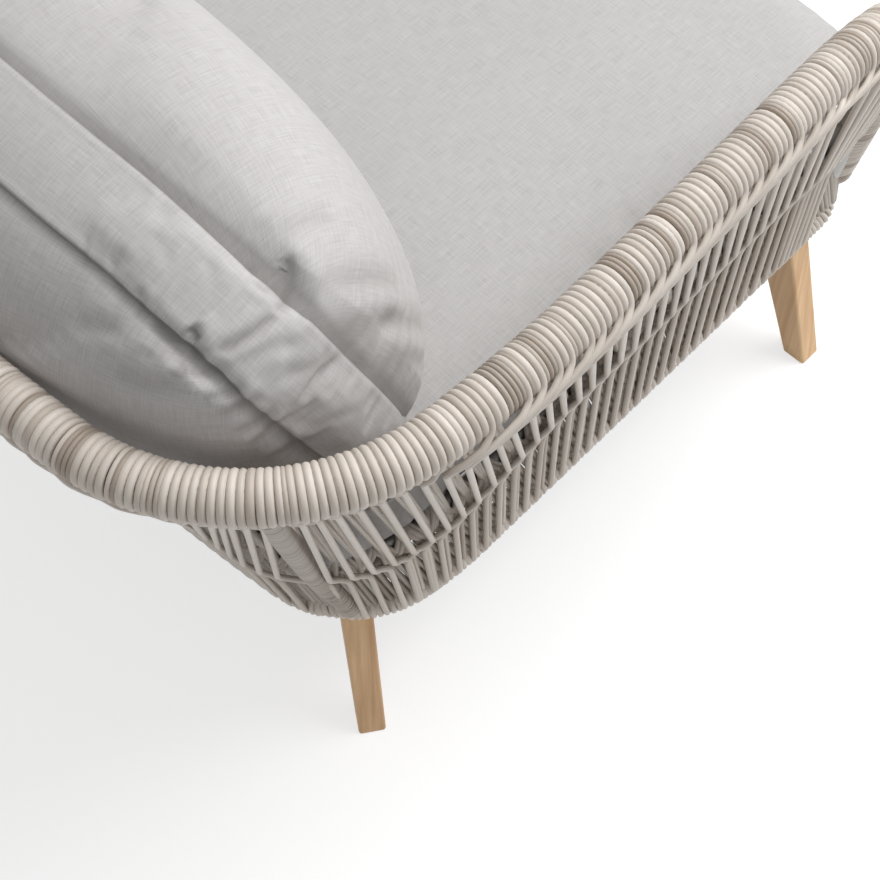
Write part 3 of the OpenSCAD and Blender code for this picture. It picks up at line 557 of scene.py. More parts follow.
def groupNode(tree, group, values=None):
    node = tree.nodes.new("ShaderNodeGroup")
    node.node_tree = group
    for key, value in (values or {}).items():
        node.inputs[key].default_value = value
    return node


def attributeNode(tree, name):
    node = tree.nodes.new("ShaderNodeAttribute")
    node.attribute_name = name
    return node


def bumpOn(tree, height, strength, distance):
    node = addNode(tree, "ShaderNodeBump", None, {"Strength": strength, "Distance": distance})
    tree.links.new(height, node.inputs["Height"])
    return node.outputs["Normal"]


strandLook = {"pale": srgb(226, 218, 209), "mid": srgb(212, 203, 193), "taupe": srgb(166, 153, 140),
              "dust": srgb(196, 188, 178)}


# drawn resin strand: each has its own tone, with streaks along it
def strandMaterial(name, shade=1.0, contrast=0.55):
    material, tree, shader = newMaterial(name)
    link = tree.links.new
    tint = attributeNode(tree, "tint").outputs["Fac"]
    along = attributeNode(tree, "along").outputs["Fac"]
    across = attributeNode(tree, "across").outputs["Fac"]
    vector = tree.nodes.new("ShaderNodeCombineXYZ")
    link(across, vector.inputs["X"])
    link(along, vector.inputs["Y"])
    link(mathNode(tree, "MULTIPLY", tint, 37.0), vector.inputs["Z"])
    streaks = groupNode(tree, fineStreaks,
                        {"Across Scale": 1300.0, "Along Scale": 14.0, "Contrast": contrast})
    link(vector.outputs[0], streaks.inputs["Vector"])
    dark = [tuple(c * shade for c in strandLook[k]) for k in ("taupe", "mid", "pale")]
    tone = ramp(tree, tint, [(0.0, dark[0]), (0.38, dark[1]), (1.0, dark[2])])
    lined = mixColour(tree, "OVERLAY", 0.55, tone, streaks.outputs["Streak"])
    warm = mixColour(tree, "MIX", mathNode(tree, "MULTIPLY", streaks.outputs["Broad"], 0.28), lined, dark[0])
    place = tree.nodes.new("ShaderNodeTexCoord").outputs["Object"]
    dust = groupNode(tree, softDust, {"Dust Color": (*[c * shade for c in strandLook["dust"]], 1.0),
                                      "Amount": 0.3, "Scale": 14.0})
    link(place, dust.inputs["Vector"])
    link(warm, dust.inputs["Color"])
    link(dust.outputs["Color"], shader.inputs["Base Color"])
    rough = mathNode(tree, "ADD", mathNode(tree, "MULTIPLY", streaks.outputs["Streak"], 0.16), 0.42)
    link(rough, shader.inputs["Roughness"])
    shader.inputs["Specular IOR Level"].default_value = 0.4
    link(bumpOn(tree, streaks.outputs["Streak"], 0.25, 0.0004), shader.inputs["Normal"])
    return material


# woven cover: weave and slubs by the cover's own UV, with painted shade darkening it in the seams and creases
def clothMaterial(name, base, light, threads, bump=0.35):
    material, tree, shader = newMaterial(name)
    link = tree.links.new
    uv = addNode(tree, "ShaderNodeUVMap", {"uv_map": "cloth"}).outputs["UV"]
    weave = groupNode(tree, plainWeave, {"Threads": threads, "Slub": 0.6})
    link(uv, weave.inputs["Vector"])
    place = tree.nodes.new("ShaderNodeTexCoord").outputs["Object"]
    patch = noiseOn(tree, place, 9.0, 3.0, 0.5)
    shade = mathNode(tree, "MULTIPLY_ADD", patch, 0.10, -0.05)
    level = mathNode(tree, "ADD", weave.outputs["Shade"], shade)
    colour = ramp(tree, level, [(0.36, tuple(c * 0.84 for c in base)), (0.5, base), (0.64, light)])
    slubbed = mixColour(tree, "MIX", mathNode(tree, "MULTIPLY", weave.outputs["Slubs"], 0.35), colour, light)
    # painted shade: the seam and crease masks darken the cover where its grooves fall into shade
    seam = attributeNode(tree, "seam").outputs["Fac"]
    shadedCover = mixColour(tree, "MULTIPLY", seam, slubbed, (0.42, 0.41, 0.40))
    creaseShade = attributeNode(tree, "creaseShade").outputs["Fac"]
    shadedCover = mixColour(tree, "MULTIPLY", mathNode(tree, "MULTIPLY", creaseShade, 0.5), shadedCover, (0.5, 0.48, 0.46))
    dust = groupNode(tree, softDust, {"Dust Color": (*[c * 0.92 for c in base], 1.0),
                                      "Amount": 0.22, "Scale": 5.0})
    link(place, dust.inputs["Vector"])
    link(shadedCover, dust.inputs["Color"])
    link(dust.outputs["Color"], shader.inputs["Base Color"])
    shader.inputs["Roughness"].default_value = 0.92
    shader.inputs["Specular IOR Level"].default_value = 0.2
    shader.inputs["Sheen Weight"].default_value = 0.12
    shader.inputs["Sheen Roughness"].default_value = 0.5
    threadsUp = mathNode(tree, "MULTIPLY", weave.outputs["Height"], 0.5)
    height = mathNode(tree, "ADD", threadsUp, weave.outputs["Shade"])
    link(bumpOn(tree, height, bump, 0.0005), shader.inputs["Normal"])
    return material


woodLook = {"dark": srgb(203, 161, 119), "mid": srgb(220, 181, 138), "light": srgb(232, 197, 155),
            "dust": srgb(200, 162, 122)}


# oiled hardwood with straight grain up the leg
def woodMaterial(name):
    material, tree, shader = newMaterial(name)
    link = tree.links.new
    place = tree.nodes.new("ShaderNodeTexCoord").outputs["Object"]
    parts = tree.nodes.new("ShaderNodeSeparateXYZ")
    link(place, parts.inputs[0])
    bend = noiseOn(tree, scaledVector(tree, place, (9.0, 9.0, 4.0)), 1.0, 1.0, 0.4)
    sideways = mathNode(tree, "ADD", mathNode(tree, "ADD", parts.outputs["X"], parts.outputs["Y"]),
                        mathNode(tree, "MULTIPLY", bend, 0.030))
    vector = tree.nodes.new("ShaderNodeCombineXYZ")
    link(sideways, vector.inputs["X"])
    link(parts.outputs["Z"], vector.inputs["Y"])
    link(mathNode(tree, "MULTIPLY", mathNode(tree, "SUBTRACT", parts.outputs["X"], parts.outputs["Y"]), 60.0),
         vector.inputs["Z"])
    streaks = groupNode(tree, fineStreaks, {"Across Scale": 420.0, "Along Scale": 5.0, "Contrast": 1.0})
    link(vector.outputs[0], streaks.inputs["Vector"])
    tone = ramp(tree, streaks.outputs["Broad"],
                [(0.30, woodLook["dark"]), (0.5, woodLook["mid"]), (0.70, woodLook["light"])])
    lined = mixColour(tree, "OVERLAY", 0.30, tone, streaks.outputs["Streak"])
    dust = groupNode(tree, softDust, {"Dust Color": (*woodLook["dust"], 1.0), "Amount": 0.3, "Scale": 16.0})
    link(place, dust.inputs["Vector"])
    link(lined, dust.inputs["Color"])
    link(dust.outputs["Color"], shader.inputs["Base Color"])
    link(mathNode(tree, "MULTIPLY_ADD", streaks.outputs["Streak"], 0.2, 0.42), shader.inputs["Roughness"])
    shader.inputs["Specular IOR Level"].default_value = 0.35
    link(bumpOn(tree, streaks.outputs["Streak"], 0.25, 0.0004), shader.inputs["Normal"])
    return material


# moulded or metal finish with a fine mottle and dust
def plainMaterial(name, colour, rough, metallic=0.0, scale=90.0, bump=0.1):
    material, tree, shader = newMaterial(name)
    link = tree.links.new
    place = tree.nodes.new("ShaderNodeTexCoord").outputs["Object"]
    mottle = noiseOn(tree, place, scale, 4.0, 0.6)
    low, high = tuple(c * 0.86 for c in colour), tuple(min(1, c * 1.1) for c in colour)
    tone = ramp(tree, mottle, [(0.3, low), (0.7, high)])
    dust = groupNode(tree, softDust, {"Dust Color": (*[c * 0.8 + 0.06 for c in colour], 1.0),
                                      "Amount": 0.25, "Scale": 22.0})
    link(place, dust.inputs["Vector"])
    link(tone, dust.inputs["Color"])
    link(dust.outputs["Color"], shader.inputs["Base Color"])
    link(mathNode(tree, "MULTIPLY_ADD", mottle, 0.16, rough - 0.08), shader.inputs["Roughness"])
    shader.inputs["Metallic"].default_value = metallic
    link(bumpOn(tree, mottle, bump, 0.0003), shader.inputs["Normal"])
    return material


# woven elastic strap, by place on the chair
def strapMaterial(name):
    material, tree, shader = newMaterial(name)
    link = tree.links.new
    place = tree.nodes.new("ShaderNodeTexCoord").outputs["Object"]
    weave = groupNode(tree, plainWeave, {"Threads": 420.0, "Slub": 0.3})
    link(place, weave.inputs["Vector"])
    colour = ramp(tree, weave.outputs["Height"], [(0.2, srgb(74, 70, 66)), (0.9, srgb(118, 112, 106))])
    link(colour, shader.inputs["Base Color"])
    shader.inputs["Roughness"].default_value = 0.85
    link(bumpOn(tree, weave.outputs["Height"], 0.5, 0.0006), shader.inputs["Normal"])
    return material


wrapStrand = strandMaterial("wrapStrand")
wallStrand = strandMaterial("wallStrand", 0.95)
# a darker copy of the strand finish, as painted shade on the rope inside the wall
paintedShadeStrand = strandMaterial("paintedShadeStrand", 0.78)
postStrand = strandMaterial("postStrand", 0.80)
linenLook = {"seat": (srgb(186, 184, 183), srgb(196, 194, 193)),
             "back": (srgb(193, 190, 189), srgb(204, 202, 202)), "threads": 1500.0}
seatLinen = clothMaterial("seatLinen", *linenLook["seat"], linenLook["threads"])
backLinen = clothMaterial("backLinen", *linenLook["back"], linenLook["threads"])
legWood = woodMaterial("legWood")
frameMetal = plainMaterial("frameMetal", srgb(150, 148, 146), 0.45, 0.9)
boltSteel = plainMaterial("boltSteel", srgb(170, 170, 168), 0.35, 1.0)
glidePlastic = plainMaterial("glidePlastic", srgb(52, 50, 48), 0.55)
strapWeb = strapMaterial("strapWeb")
print("finishes made")


def paintNodes(material, *names):
    for name in names:
        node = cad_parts[name]
        node.data.materials.clear()
        node.data.materials.append(material)


paintNodes(legWood, "leg_front_left", "leg_front_right", "leg_rear_left", "leg_rear_right")
paintNodes(frameMetal, "rail_tube", "base_ring", "seat_ring", "rear_post_left", "rear_post_right",
           "arm_post_left", "arm_post_right", "back_post", "deck_bars", "leg_plates")
paintNodes(boltSteel, "leg_bolts")
paintNodes(glidePlastic, "glides")
paintNodes(strapWeb, "webbing_long", "webbing_cross")


# turns of strand round the rail
wrap = {"pitch": 0.0057, "play": (0.95, 1.03), "girthPlay": 0.005, "tones": (0.5, 0.62, 0.74),
        "hidden": 0.968, "bandOdds": 0.10, "bandTurns": (2, 4), "bandBreadth": 0.66, "bandGirth": 0.984,
        "bandTone": 0.12}


# guide points for turns along a run, with now and then a band of flat, darker turns
def wrapPoints(pointAt, length, seed, pitch, bands=True, close=1.16):
    draw = random.Random(seed)
    points, ways, outs, girth, breadth, tone, runs = [], [], [], [], [], [], []
    run, left = pitch / 2, 0
    while run < length - pitch / 2:
        if left == 0 and bands and draw.random() < wrap["bandOdds"]:
            left = draw.randint(*wrap["bandTurns"])
        flat = left > 0
        left = max(0, left - 1)
        wide = (wrap["bandBreadth"] if flat else 1.0) * draw.uniform(*wrap["play"])
        p, way, out = pointAt(run)
        points.append(p)
        ways.append(way)
        outs.append(out)
        play = draw.uniform(-wrap["girthPlay"], wrap["girthPlay"])
        girth.append((wrap["bandGirth"] if flat else 1.0) + play)
        breadth.append(wide * close)
        tone.append(wrap["bandTone"] if flat else draw.choice(wrap["tones"]))
        runs.append(run)
        run += pitch * wide
    return [points, ways, outs, girth, breadth, tone, runs]


def makeTurns(name, parts, values, replaced, material):
    merged = [sum((list(p[k]) for p in parts), []) for k in range(6)]
    mesh = guideMesh(name + "Guide", merged[0],
                     floats={"girth": merged[3], "breadth": merged[4], "tone": merged[5]},
                     vectors={"way": merged[1], "out": merged[2]})
    return grow(name, mesh, turnsOfStrand, dict(values, Material=material), replaced)


def mirrored(part):
    flip = np.array([-1.0, 1.0, 1.0])
    return [[np.asarray(v) * flip for v in part[k]] if k < 3 else list(part[k]) for k in range(7)]


# place, forward, outward and upward on the rail by length, on down the front post
def railAt(run):
    place, way, out, up = railFrame(railPlace(min(run, railRun[-1])))
    return place + way * max(0.0, run - railRun[-1]), way, out, up


cornerRun = railRunAt(2.0)
wrapEnd = railRun[-1] + (postTop[2] - chair["baseZ"] - baseWrapR - 0.004) / -postWay[2]
railTurns = {"Turn Radius": chair["railR"] + chair["gap"] + strandR, "Strand Diameter": chair["strand"],
             "Faces Around": 26, "Faces Across": 8, "Tilt": 0.008, "Tone Spread": 0.7}
backTurns, armTurns = {}, {}
for side, seed in (("right", 11), ("left", 12)):
    backTurns[side] = wrapPoints(lambda run: railAt(run)[:3], cornerRun + 0.003, seed, wrap["pitch"])
    armTurns[side] = wrapPoints(lambda run: railAt(cornerRun + run)[:3], wrapEnd - cornerRun, seed + 10,
                                wrap["pitch"])


# wall strands, with their places along the belt at seat height as (run, value) tables
wall = {
    "steps": ((0.0, 0.25, 0.28, 0.88, 0.89), (0.0125, 0.0130, 0.0172, 0.0172, 0.0090)),
    "topShift": ((0.0, 0.10, 0.20, 0.213, 0.226, 0.252, 0.282, 0.318, 0.335, 0.358, 0.378,
                  0.418, 0.449, 0.499, 0.53, 0.566, 0.65, 0.75, 0.85, 0.88, 0.94),
                 (0.0, 0.07, 0.115, 0.118, 0.114, 0.100, 0.093, 0.077, 0.070, 0.064, 0.061,
                  0.053, 0.048, 0.034, 0.033, 0.025, 0.018, 0.006, 0.002, 0.008, 0.170)),
    "footShift": ((0.0, 0.25, 0.28, 0.33, 0.38, 0.46, 0.56, 0.80),
                  (-0.010, -0.010, -0.005, -0.006, -0.009, -0.020, -0.023, -0.030)),
    "beltRise": ((0.0, 0.42, 0.55, 0.80, 0.94), (0.0, 0.0, 0.016, 0.012, 0.005)),
    "beltOut": ((0.0, 0.252, 0.32, 0.34), (0.009, 0.009, 0.004, 0.003)),
    "switch": 0.385, "postFree": (0.281, 0.314), "backReach": 0.014, "armReach": 0.024,
    "beltZ": (0.2640, 0.2590, 0.2545), "beltJog": 0.0010, "footJog": 0.0012,
    "bend": 0.008, "footZ": 0.187, "footOut": 0.0125, "turnPitch": 0.0057,
    "second": {"from": 0.40, "topZ": 0.2520, "topOut": -0.0025, "footZ": 0.1950, "footOut": 0.0085},
}
# places along the rail: length of the run below the wrap, its angles and distances from the rail's centre
tail = {
    "length": ((0.0, 0.28, 0.345, 0.46, 0.475, 0.50, 1.2),
               (0.060, 0.062, 0.012, 0.009, -0.020, -0.055, -0.060)),
    "startDeg": ((0.0, 0.30, 0.34, 0.465, 0.48, 0.50), (-42, -42, -66, -66, -14, -4)),
    "endDeg": ((0.0, 0.30, 0.34, 0.465, 0.50), (-75, -75, -74, -70, -48)),
    "startR": ((0.0, 1.2), (0.0222, 0.0222)),
    "endR": ((0.0, 0.30, 0.34, 0.46, 0.50), (0.0232, 0.0232, 0.0238, 0.0250, 0.0290)),
}


# a line through corners, each eased by its own radius
def rounded(points, radii, per=4):
    line = [points[0]]
    for k in range(1, len(points) - 1):
        p, r = points[k], radii[k]
        if r <= 0:
            line.append(p)
            continue
        a, b = points[k - 1] - p, points[k + 1] - p
        ra = min(r, np.linalg.norm(a) * 0.48)
        rb = min(r, np.linalg.norm(b) * 0.48)
        u, v = p + unit(a) * ra, p + unit(b) * rb
        for f in np.linspace(0.0, 1.0, per + 1):
            line.append((1 - f) ** 2 * u + 2 * f * (1 - f) * p + f * f * v)
    line.append(points[-1])
    return line


def roundRail(run, deg, r):
    place, _, out, up = railAt(run)
    a = math.radians(deg)
    return place + r * (math.cos(a) * out + math.sin(a) * up)


def overBase(run, deg, r):
    a = math.radians(deg)
    return ringPoint(baseCurve, beltPlace(min(max(run, 0.0), beltRun[-1])), chair["baseZ"] + r * math.sin(a),
                     r * math.cos(a))


# the free turn nearest to a place on the rail, drawn in a little under the strand's own turn
def takeTurn(turns, run):
    free = [k for k, girth in enumerate(turns[3]) if girth > 0.97]
    k = min(free, key=lambda i: abs(turns[6][i] - run))
    turns[3][k] = wrap["hidden"]
    return turns[6][k]


def topOf(run):
    return min(max(run + float(np.interp(run, *wall["topShift"])), 0.012), railRun[-1] - 0.04)


# one strand: a turn round the rail, down to the belt, along it, and down to its turns on the base
def wallStrandLine(run, step, draw, backRuns, armRuns):
    top = topOf(run)
    reach = float(np.interp(top, *tail["length"]))
    reach = math.copysign(max(abs(reach), 0.008), reach)
    wish = max(top - reach, 0.004)
    start = takeTurn(backRuns, wish) if wish < cornerRun else cornerRun + takeTurn(armRuns, wish - cornerRun)
    way = 1.0 if start < top else -1.0
    turnR = chair["railR"] + chair["gap"] + strandR
    at = {key: float(np.interp(top, *tail[key])) for key in ("startDeg", "endDeg", "startR", "endR")}
    leave = at["startDeg"]
    points = [roundRail(start, deg, turnR) for deg in np.linspace(215, leave + 28, 12)]
    points += [roundRail(start + way * 0.0005, leave + 12, turnR + 0.0008),
               roundRail(start + way * 0.0025, leave - 1, 0.0194)]
    radii = [0.0] * (len(points) - 1) + [0.005]
    n = max(2, int(abs(top - start) / 0.010))
    for k in range(1, n + 1):
        f = k / n
        points.append(roundRail(start + (top - start) * f, leave + (at["endDeg"] - leave) * f,
                                at["startR"] + (at["endR"] - at["startR"]) * f))
        radii.append(0.004 if k == 1 else (wall["bend"] if k == n else 0.0))
    side = 1.0 if run < wall["switch"] else -1.0
    low = run + side * (wall["backReach"] if side > 0 else wall["armReach"])
    if run < wall["postFree"][0] < run + step:
        low = wall["postFree"][1] - 0.001
    low = min(max(low, 0.003), beltRun[-1] - 0.002)
    jog = draw.uniform(-wall["beltJog"], wall["beltJog"])
    for k, f in enumerate((0.0, 0.5, 1.0)):
        beltSpot = run + (low - run) * f
        out = float(np.interp(beltSpot, *wall["beltOut"])) + (0.0016, -0.0010, -0.0010)[k]
        rise = float(np.interp(beltSpot, *wall["beltRise"]))
        points.append(ringPoint(beltCurve, beltPlace(beltSpot), wall["beltZ"][k] + rise + jog, out))
        radii.append((wall["bend"] * 0.8, 0.0, wall["bend"] * 0.8)[k])
    foot = low + float(np.interp(low, *wall["footShift"])) + draw.uniform(-wall["footJog"], wall["footJog"])
    foot = max(foot, 0.002)
    points.append(ringPoint(baseCurve, beltPlace(foot), wall["footZ"], wall["footOut"]))
    radii.append(0.004)
    turns = max(1, round(step / wall["turnPitch"])) - 0.35
    for deg in np.arange(-25, -25 - 360 * turns, -30.0):
        along = foot + 0.001 + step * 0.92 * (-25 - deg) / (360 * turns)
        points.append(overBase(along, deg, chair["ringR"] + strandR))
        radii.append(0.0)
    return rounded(points, radii), low, foot


def strandGuide(name, lines, tints):
    points, edges, tint = [], [], []
    for line, value in zip(lines, tints):
        start = len(points)
        points += list(line)
        edges += [(start + i, start + i + 1) for i in range(len(line) - 1)]
        tint += [value] * len(line)
    return guideMesh(name, points, edges, floats={"tint": tint})


def makeStrands(name, lines, tints, tree, diameter, faces, twist, material, replaced):
    mesh = strandGuide(name + "Guide", lines, tints)
    return grow(name, mesh, tree, {"Strand Diameter": diameter, "Faces Across": faces, "Twist": twist,
                                   "Material": material}, replaced)


flipX = np.array([-1.0, 1.0, 1.0])
beltCorner = float(np.interp(1.6, beltPlaces, beltRun))


# outer strands of the back and of the arm, and the second layer below the arm's belt
def wallHalf(side, seed):
    draw = random.Random(seed)
    back, arm, second = [], [], []
    run = 0.006
    while run < beltRun[-1]:
        step = float(np.interp(run, *wall["steps"]))
        if wall["postFree"][0] < run < wall["postFree"][1]:
            run = wall["postFree"][1]
        near = run + draw.uniform(-wall["beltJog"], wall["beltJog"])
        line, low, foot = wallStrandLine(near, step, draw, backTurns[side], armTurns[side])
        (back if run < beltCorner else arm).append(line)
        layer = wall["second"]
        if run > layer["from"]:
            topZ = layer["topZ"] + float(np.interp(low, *wall["beltRise"]))
            a = ringPoint(beltCurve, beltPlace(low - step * 0.5), topZ, layer["topOut"])
            b = ringPoint(baseCurve, beltPlace(foot - step * 0.5), layer["footZ"], layer["footOut"])
            second.append([a + (b - a) * f for f in np.linspace(0.0, 1.0, 6)])
        run += step
    return back, arm, second


for side, seed in (("right", 71), ("left", 72)):
    parts = wallHalf(side, seed)
    if side == "left":
        parts = [[[p * flipX for p in line] for line in part] for part in parts]
    draw = random.Random(seed + 5)
    name = side.capitalize()
    makeStrands("wall" + name, parts[1], [draw.uniform(0.3, 0.95) for _ in parts[1]], roundStrand,
                chair["strand"], 8, 0.0, wallStrand,
                [part + side for part in ("arm_strands_", "arm_skirt_", "corner_strands_", "corner_skirt_")])
    makeStrands("wallBack" + name, parts[0], [draw.uniform(0.3, 0.95) for _ in parts[0]], roundStrand,
                chair["strand"], 8, 0.0, wallStrand,
                ["back_strands", "back_skirt", "rail_bundle", "seat_bundle"])
    makeStrands("secondStrands" + name, parts[2], [draw.uniform(0.1, 0.7) for _ in parts[2]], roundStrand,
                chair["strand"], 7, 0.0, wallStrand, [])
print("walls strung")

makeTurns("backWrap", [backTurns["right"], mirrored(backTurns["left"])], dict(railTurns, Seed=3),
          ["rail_wrap_back", "rail_wrap_corner_left", "rail_wrap_corner_right"], wrapStrand)
for side, seed in (("right", 21), ("left", 22)):
    part = armTurns[side] if side == "right" else mirrored(armTurns[side])
    makeTurns("armWrap" + side.capitalize(), [part], dict(railTurns, Seed=seed),
              ["rail_wrap_arm_" + side, "rail_wrap_front_" + side], wrapStrand)
print("rail wrapped")


# posts wound with thin cord, at the places seen in the photograph
postWrap = {"pitch": 0.0038, "strand": 0.0035, "radius": 0.0084, "kneeR": 0.05}
postPlaces = {
    "rear": {"head": (0.372, -66, 0.011), "knee": (1.45, 0.014), "foot": (1.54, 0.007), "sides": 2},
    "arm": {"head": (0.745, -82, 0.016), "knee": (2.46, 0.003), "foot": (2.43, 0.0), "sides": 2},
    "back": {"head": (0.0, -88, 0.016), "knee": (0.0, 0.0), "foot": (0.0, 0.0), "sides": 1},
}


def postPart(spec, seed):
    head = roundRail(*spec["head"])
    knee = ringPoint(seatCurve, spec["knee"][0], chair["seatZ"], spec["knee"][1], ringFrontY)
    foot = ringPoint(baseCurve, spec["foot"][0], chair["baseZ"] + 0.006, spec["foot"][1], ringFrontY)
    line = np.array(rounded([head, knee, foot], [0.0, postWrap["kneeR"], 0.0], 12))
    run = np.concatenate([[0.0], np.cumsum(np.linalg.norm(np.diff(line, axis=0), axis=1))])

    def at(s):
        p = np.array([np.interp(s, run, line[:, k]) for k in range(3)])
        q = np.array([np.interp(s + 0.004, run, line[:, k]) for k in range(3)])
        o = np.array([np.interp(s - 0.004, run, line[:, k]) for k in range(3)])
        way = unit(q - o)
        return p, way, unit(np.cross(way, [0.0, 1.0, 0.1]))
    return wrapPoints(at, run[-1], seed, postWrap["pitch"], False, 1.0)


postParts = []
for spec in postPlaces.values():
    part = postPart(spec, 31)
    postParts.append(part)
    if spec["sides"] == 2:
        postParts.append(mirrored(part))
makeTurns("postCord", postParts, {"Turn Radius": postWrap["radius"], "Strand Diameter": postWrap["strand"],
          "Faces Around": 18, "Faces Across": 7, "Tilt": 0.02, "Tone Spread": 0.9, "Seed": 7},
          ["post_wraps", "rear_post_left", "rear_post_right", "arm_post_left", "arm_post_right"],
          postStrand)
print("posts wound")


# base ring: wound by the wall strands themselves, and on a slant across the front

# points, ways and outward directions right round a closed ring
def closedRing(curve, frontY, z, n=1400):
    toeIn = math.radians(curve["toe"])
    y0 = frontY + chair["frontR"] * (1 - math.sin(toeIn))
    centre = onStraight(curve, y0) + chair["frontR"] * np.array([math.cos(toeIn), math.sin(toeIn)])
    half = [planAt(curve, t, y0) for t in np.linspace(0.0, 3.0, n)]
    sideLength = float(np.sum(np.linalg.norm(np.diff(np.array(half), axis=0), axis=1)))
    half += [onArc(centre, chair["frontR"], a) for a in np.linspace(math.pi + toeIn, 1.5 * math.pi, 30)[1:]]
    half += [np.array([x, frontY]) for x in np.linspace(centre[0], 0.0, 60)[1:]]
    half = np.array(half)
    full = np.vstack([half, (half * np.array([-1.0, 1.0]))[::-1][1:-1]])
    closed = np.vstack([full, full[:1]])
    run = np.concatenate([[0.0], np.cumsum(np.linalg.norm(np.diff(closed, axis=0), axis=1))])

    def at(s):
        p = np.array([np.interp(s % run[-1], run, closed[:, k]) for k in (0, 1)])
        q = np.array([np.interp((s + 0.002) % run[-1], run, closed[:, k]) for k in (0, 1)])
        way = unit(np.append(q - p, 0.0))
        return np.array([p[0], p[1], z]), way, np.array([way[1] * -1, way[0], 0.0]) * -1
    return at, run[-1], sideLength


baseAt, baseLength, baseSide = closedRing(baseCurve, ringFrontY, chair["baseZ"])
seatAt, seatLength, _ = closedRing(seatCurve, seatFrontY, chair["seatZ"])
baseParts = wrapPoints(baseAt, baseLength, 41, 0.0057, False)
baseParts[3] = [girth * (0.93 if min(run, baseLength - run) < baseSide - 0.03 else 1.0)
                for girth, run in zip(baseParts[3], baseParts[6])]
makeTurns("baseWrap", [baseParts], {
          "Turn Radius": chair["ringR"] + strandR, "Strand Diameter": chair["strand"], "Faces Around": 16,
          "Faces Across": 6, "Slant": 0.3, "Tilt": 0.04, "Tone Spread": 0.6, "Seed": 9},
          ["base_wrap"], wallStrand)


# inner layers: pointed pairs above the seat ring, and the dense strands below it, darkened as painted shade
inner = {"step": 0.021, "spread": 0.0030, "point": 0.0012, "knee": (0.011, 0.0075), "foot": (-0.002, 0.0145),
         "dense": (0.25, 0.45), "sparse": 1.6, "topPlay": 0.002, "seed": 81,
         "ropeStep": 0.0061, "rope": 0.0058, "ropeTop": (0.2640, 0.0115), "ropeFoot": (0.1930, 0.0050),
         "ropeLean": ((0.0, 0.33, 0.42, 0.90), (0.003, 0.003, 0.021, 0.021))}


# pairs from the underside of the rail that meet in a point on the seat ring
def innerUpper(draw):
    lines = []
    run = 0.02
    while run < beltRun[-1] - 0.07:
        top = topOf(run) - 0.004 + draw.uniform(-inner["topPlay"], inner["topPlay"])
        foot = beltPlace(run)
        for half in (-1, 1):
            high = roundRail(top + half * inner["spread"], -82, railWrapR - 0.001)
            (kneeUp, kneeOut), (footUp, footOut) = inner["knee"], inner["foot"]
            a = ringPoint(seatCurve, beltPlace(run + half * inner["point"]), chair["seatZ"] + kneeUp, kneeOut)
            b = ringPoint(seatCurve, foot, chair["seatZ"] + footUp, footOut)
            lines.append(rounded([high, a, b], [0.0, 0.005, 0.0]))
        run += inner["step"] * (1.0 if inner["dense"][0] <= run <= inner["dense"][1] else inner["sparse"])
    return lines


def innerRope(draw):
    lines = []
    n = int(beltRun[-1] / inner["ropeStep"])
    for k in range(n):
        run = (k + 0.5) * beltRun[-1] / n
        lean = float(np.interp(run, *inner["ropeLean"])) * draw.uniform(0.9, 1.1)
        topZ = inner["ropeTop"][0] + 0.7 * float(np.interp(run, *wall["beltRise"]))
        a = ringPoint(seatCurve, beltPlace(run), topZ, inner["ropeTop"][1])
        b = ringPoint(baseCurve, beltPlace(min(run + lean, beltRun[-1])), *inner["ropeFoot"])
        lines.append([a + (b - a) * f for f in np.linspace(0.0, 1.0, 9)])
    return lines


front = {"step": 0.0172, "lean": 0.006, "ropeLean": 0.020, "turnDegs": (10, -40, -85, -130)}


# outer strands and rope across the front, below the seat
def frontSkirt():
    outer, rope = [], []
    half = -onStraight(baseCurve, ringFrontY)[0] - chair["frontR"] - railWrapR
    n = int(2 * half / front["step"])
    for k in range(n + 1):
        x = -half + 2 * half * k / n
        top = np.array([x, seatFrontY - braidR - strandR, chair["seatZ"] + 0.002])
        points = [np.array([x + 0.002, seatFrontY - 0.004, chair["seatZ"] + braidR + strandR]), top]
        for deg in front["turnDegs"]:
            a = math.radians(deg)
            r = baseWrapR + strandR * 0.9
            points.append(np.array([x + front["lean"] * (10 - deg) / 140, ringFrontY - r * math.cos(a),
                                    chair["baseZ"] + r * math.sin(a)]))
        outer.append(rounded(points, [0, 0.006, 0.004, 0, 0, 0]))
    m = int(2 * half / inner["ropeStep"])
    for k in range(m):
        x = -half + 2 * half * (k + 0.5) / m
        a = np.array([x, seatFrontY - braidR * 0.6, chair["seatZ"] - braidR * 0.7])
        b = np.array([min(half, x + front["ropeLean"]), ringFrontY - baseWrapR * 0.3,
                      chair["baseZ"] + baseWrapR * 0.8])
        rope.append([a + (b - a) * f for f in np.linspace(0.0, 1.0, 9)])
    return outer, rope


draw = random.Random(inner["seed"])
rightUpper, rightRope = innerUpper(draw), innerRope(draw)
for side in ("Right", "Left"):
    flip = np.array([1.0, 1.0, 1.0]) if side == "Right" else flipX
    upper = [[p * flip for p in line] for line in rightUpper]
    rope = [[p * flip for p in line] for line in rightRope]
    makeStrands("innerStrands" + side, upper, [draw.uniform(0.2, 0.7) for _ in upper], roundStrand,
                chair["strand"], 7, 0.0, wallStrand,
                ["inner_strands_" + side.lower(), "inner_strands_back"])
    # painted shade: the rope inside the wall takes low tints and the darker strand copy
    makeStrands("ropeSkirt" + side, rope, [draw.uniform(0.0, 0.6) for _ in rope], roundStrand,
                inner["rope"], 7, 0.0, paintedShadeStrand, [])
frontOuter, frontRope = frontSkirt()
makeStrands("frontStrands", frontOuter, [draw.uniform(0.35, 0.95) for _ in frontOuter], roundStrand,
            chair["strand"], 8, 0.0, wallStrand, ["front_skirt"])
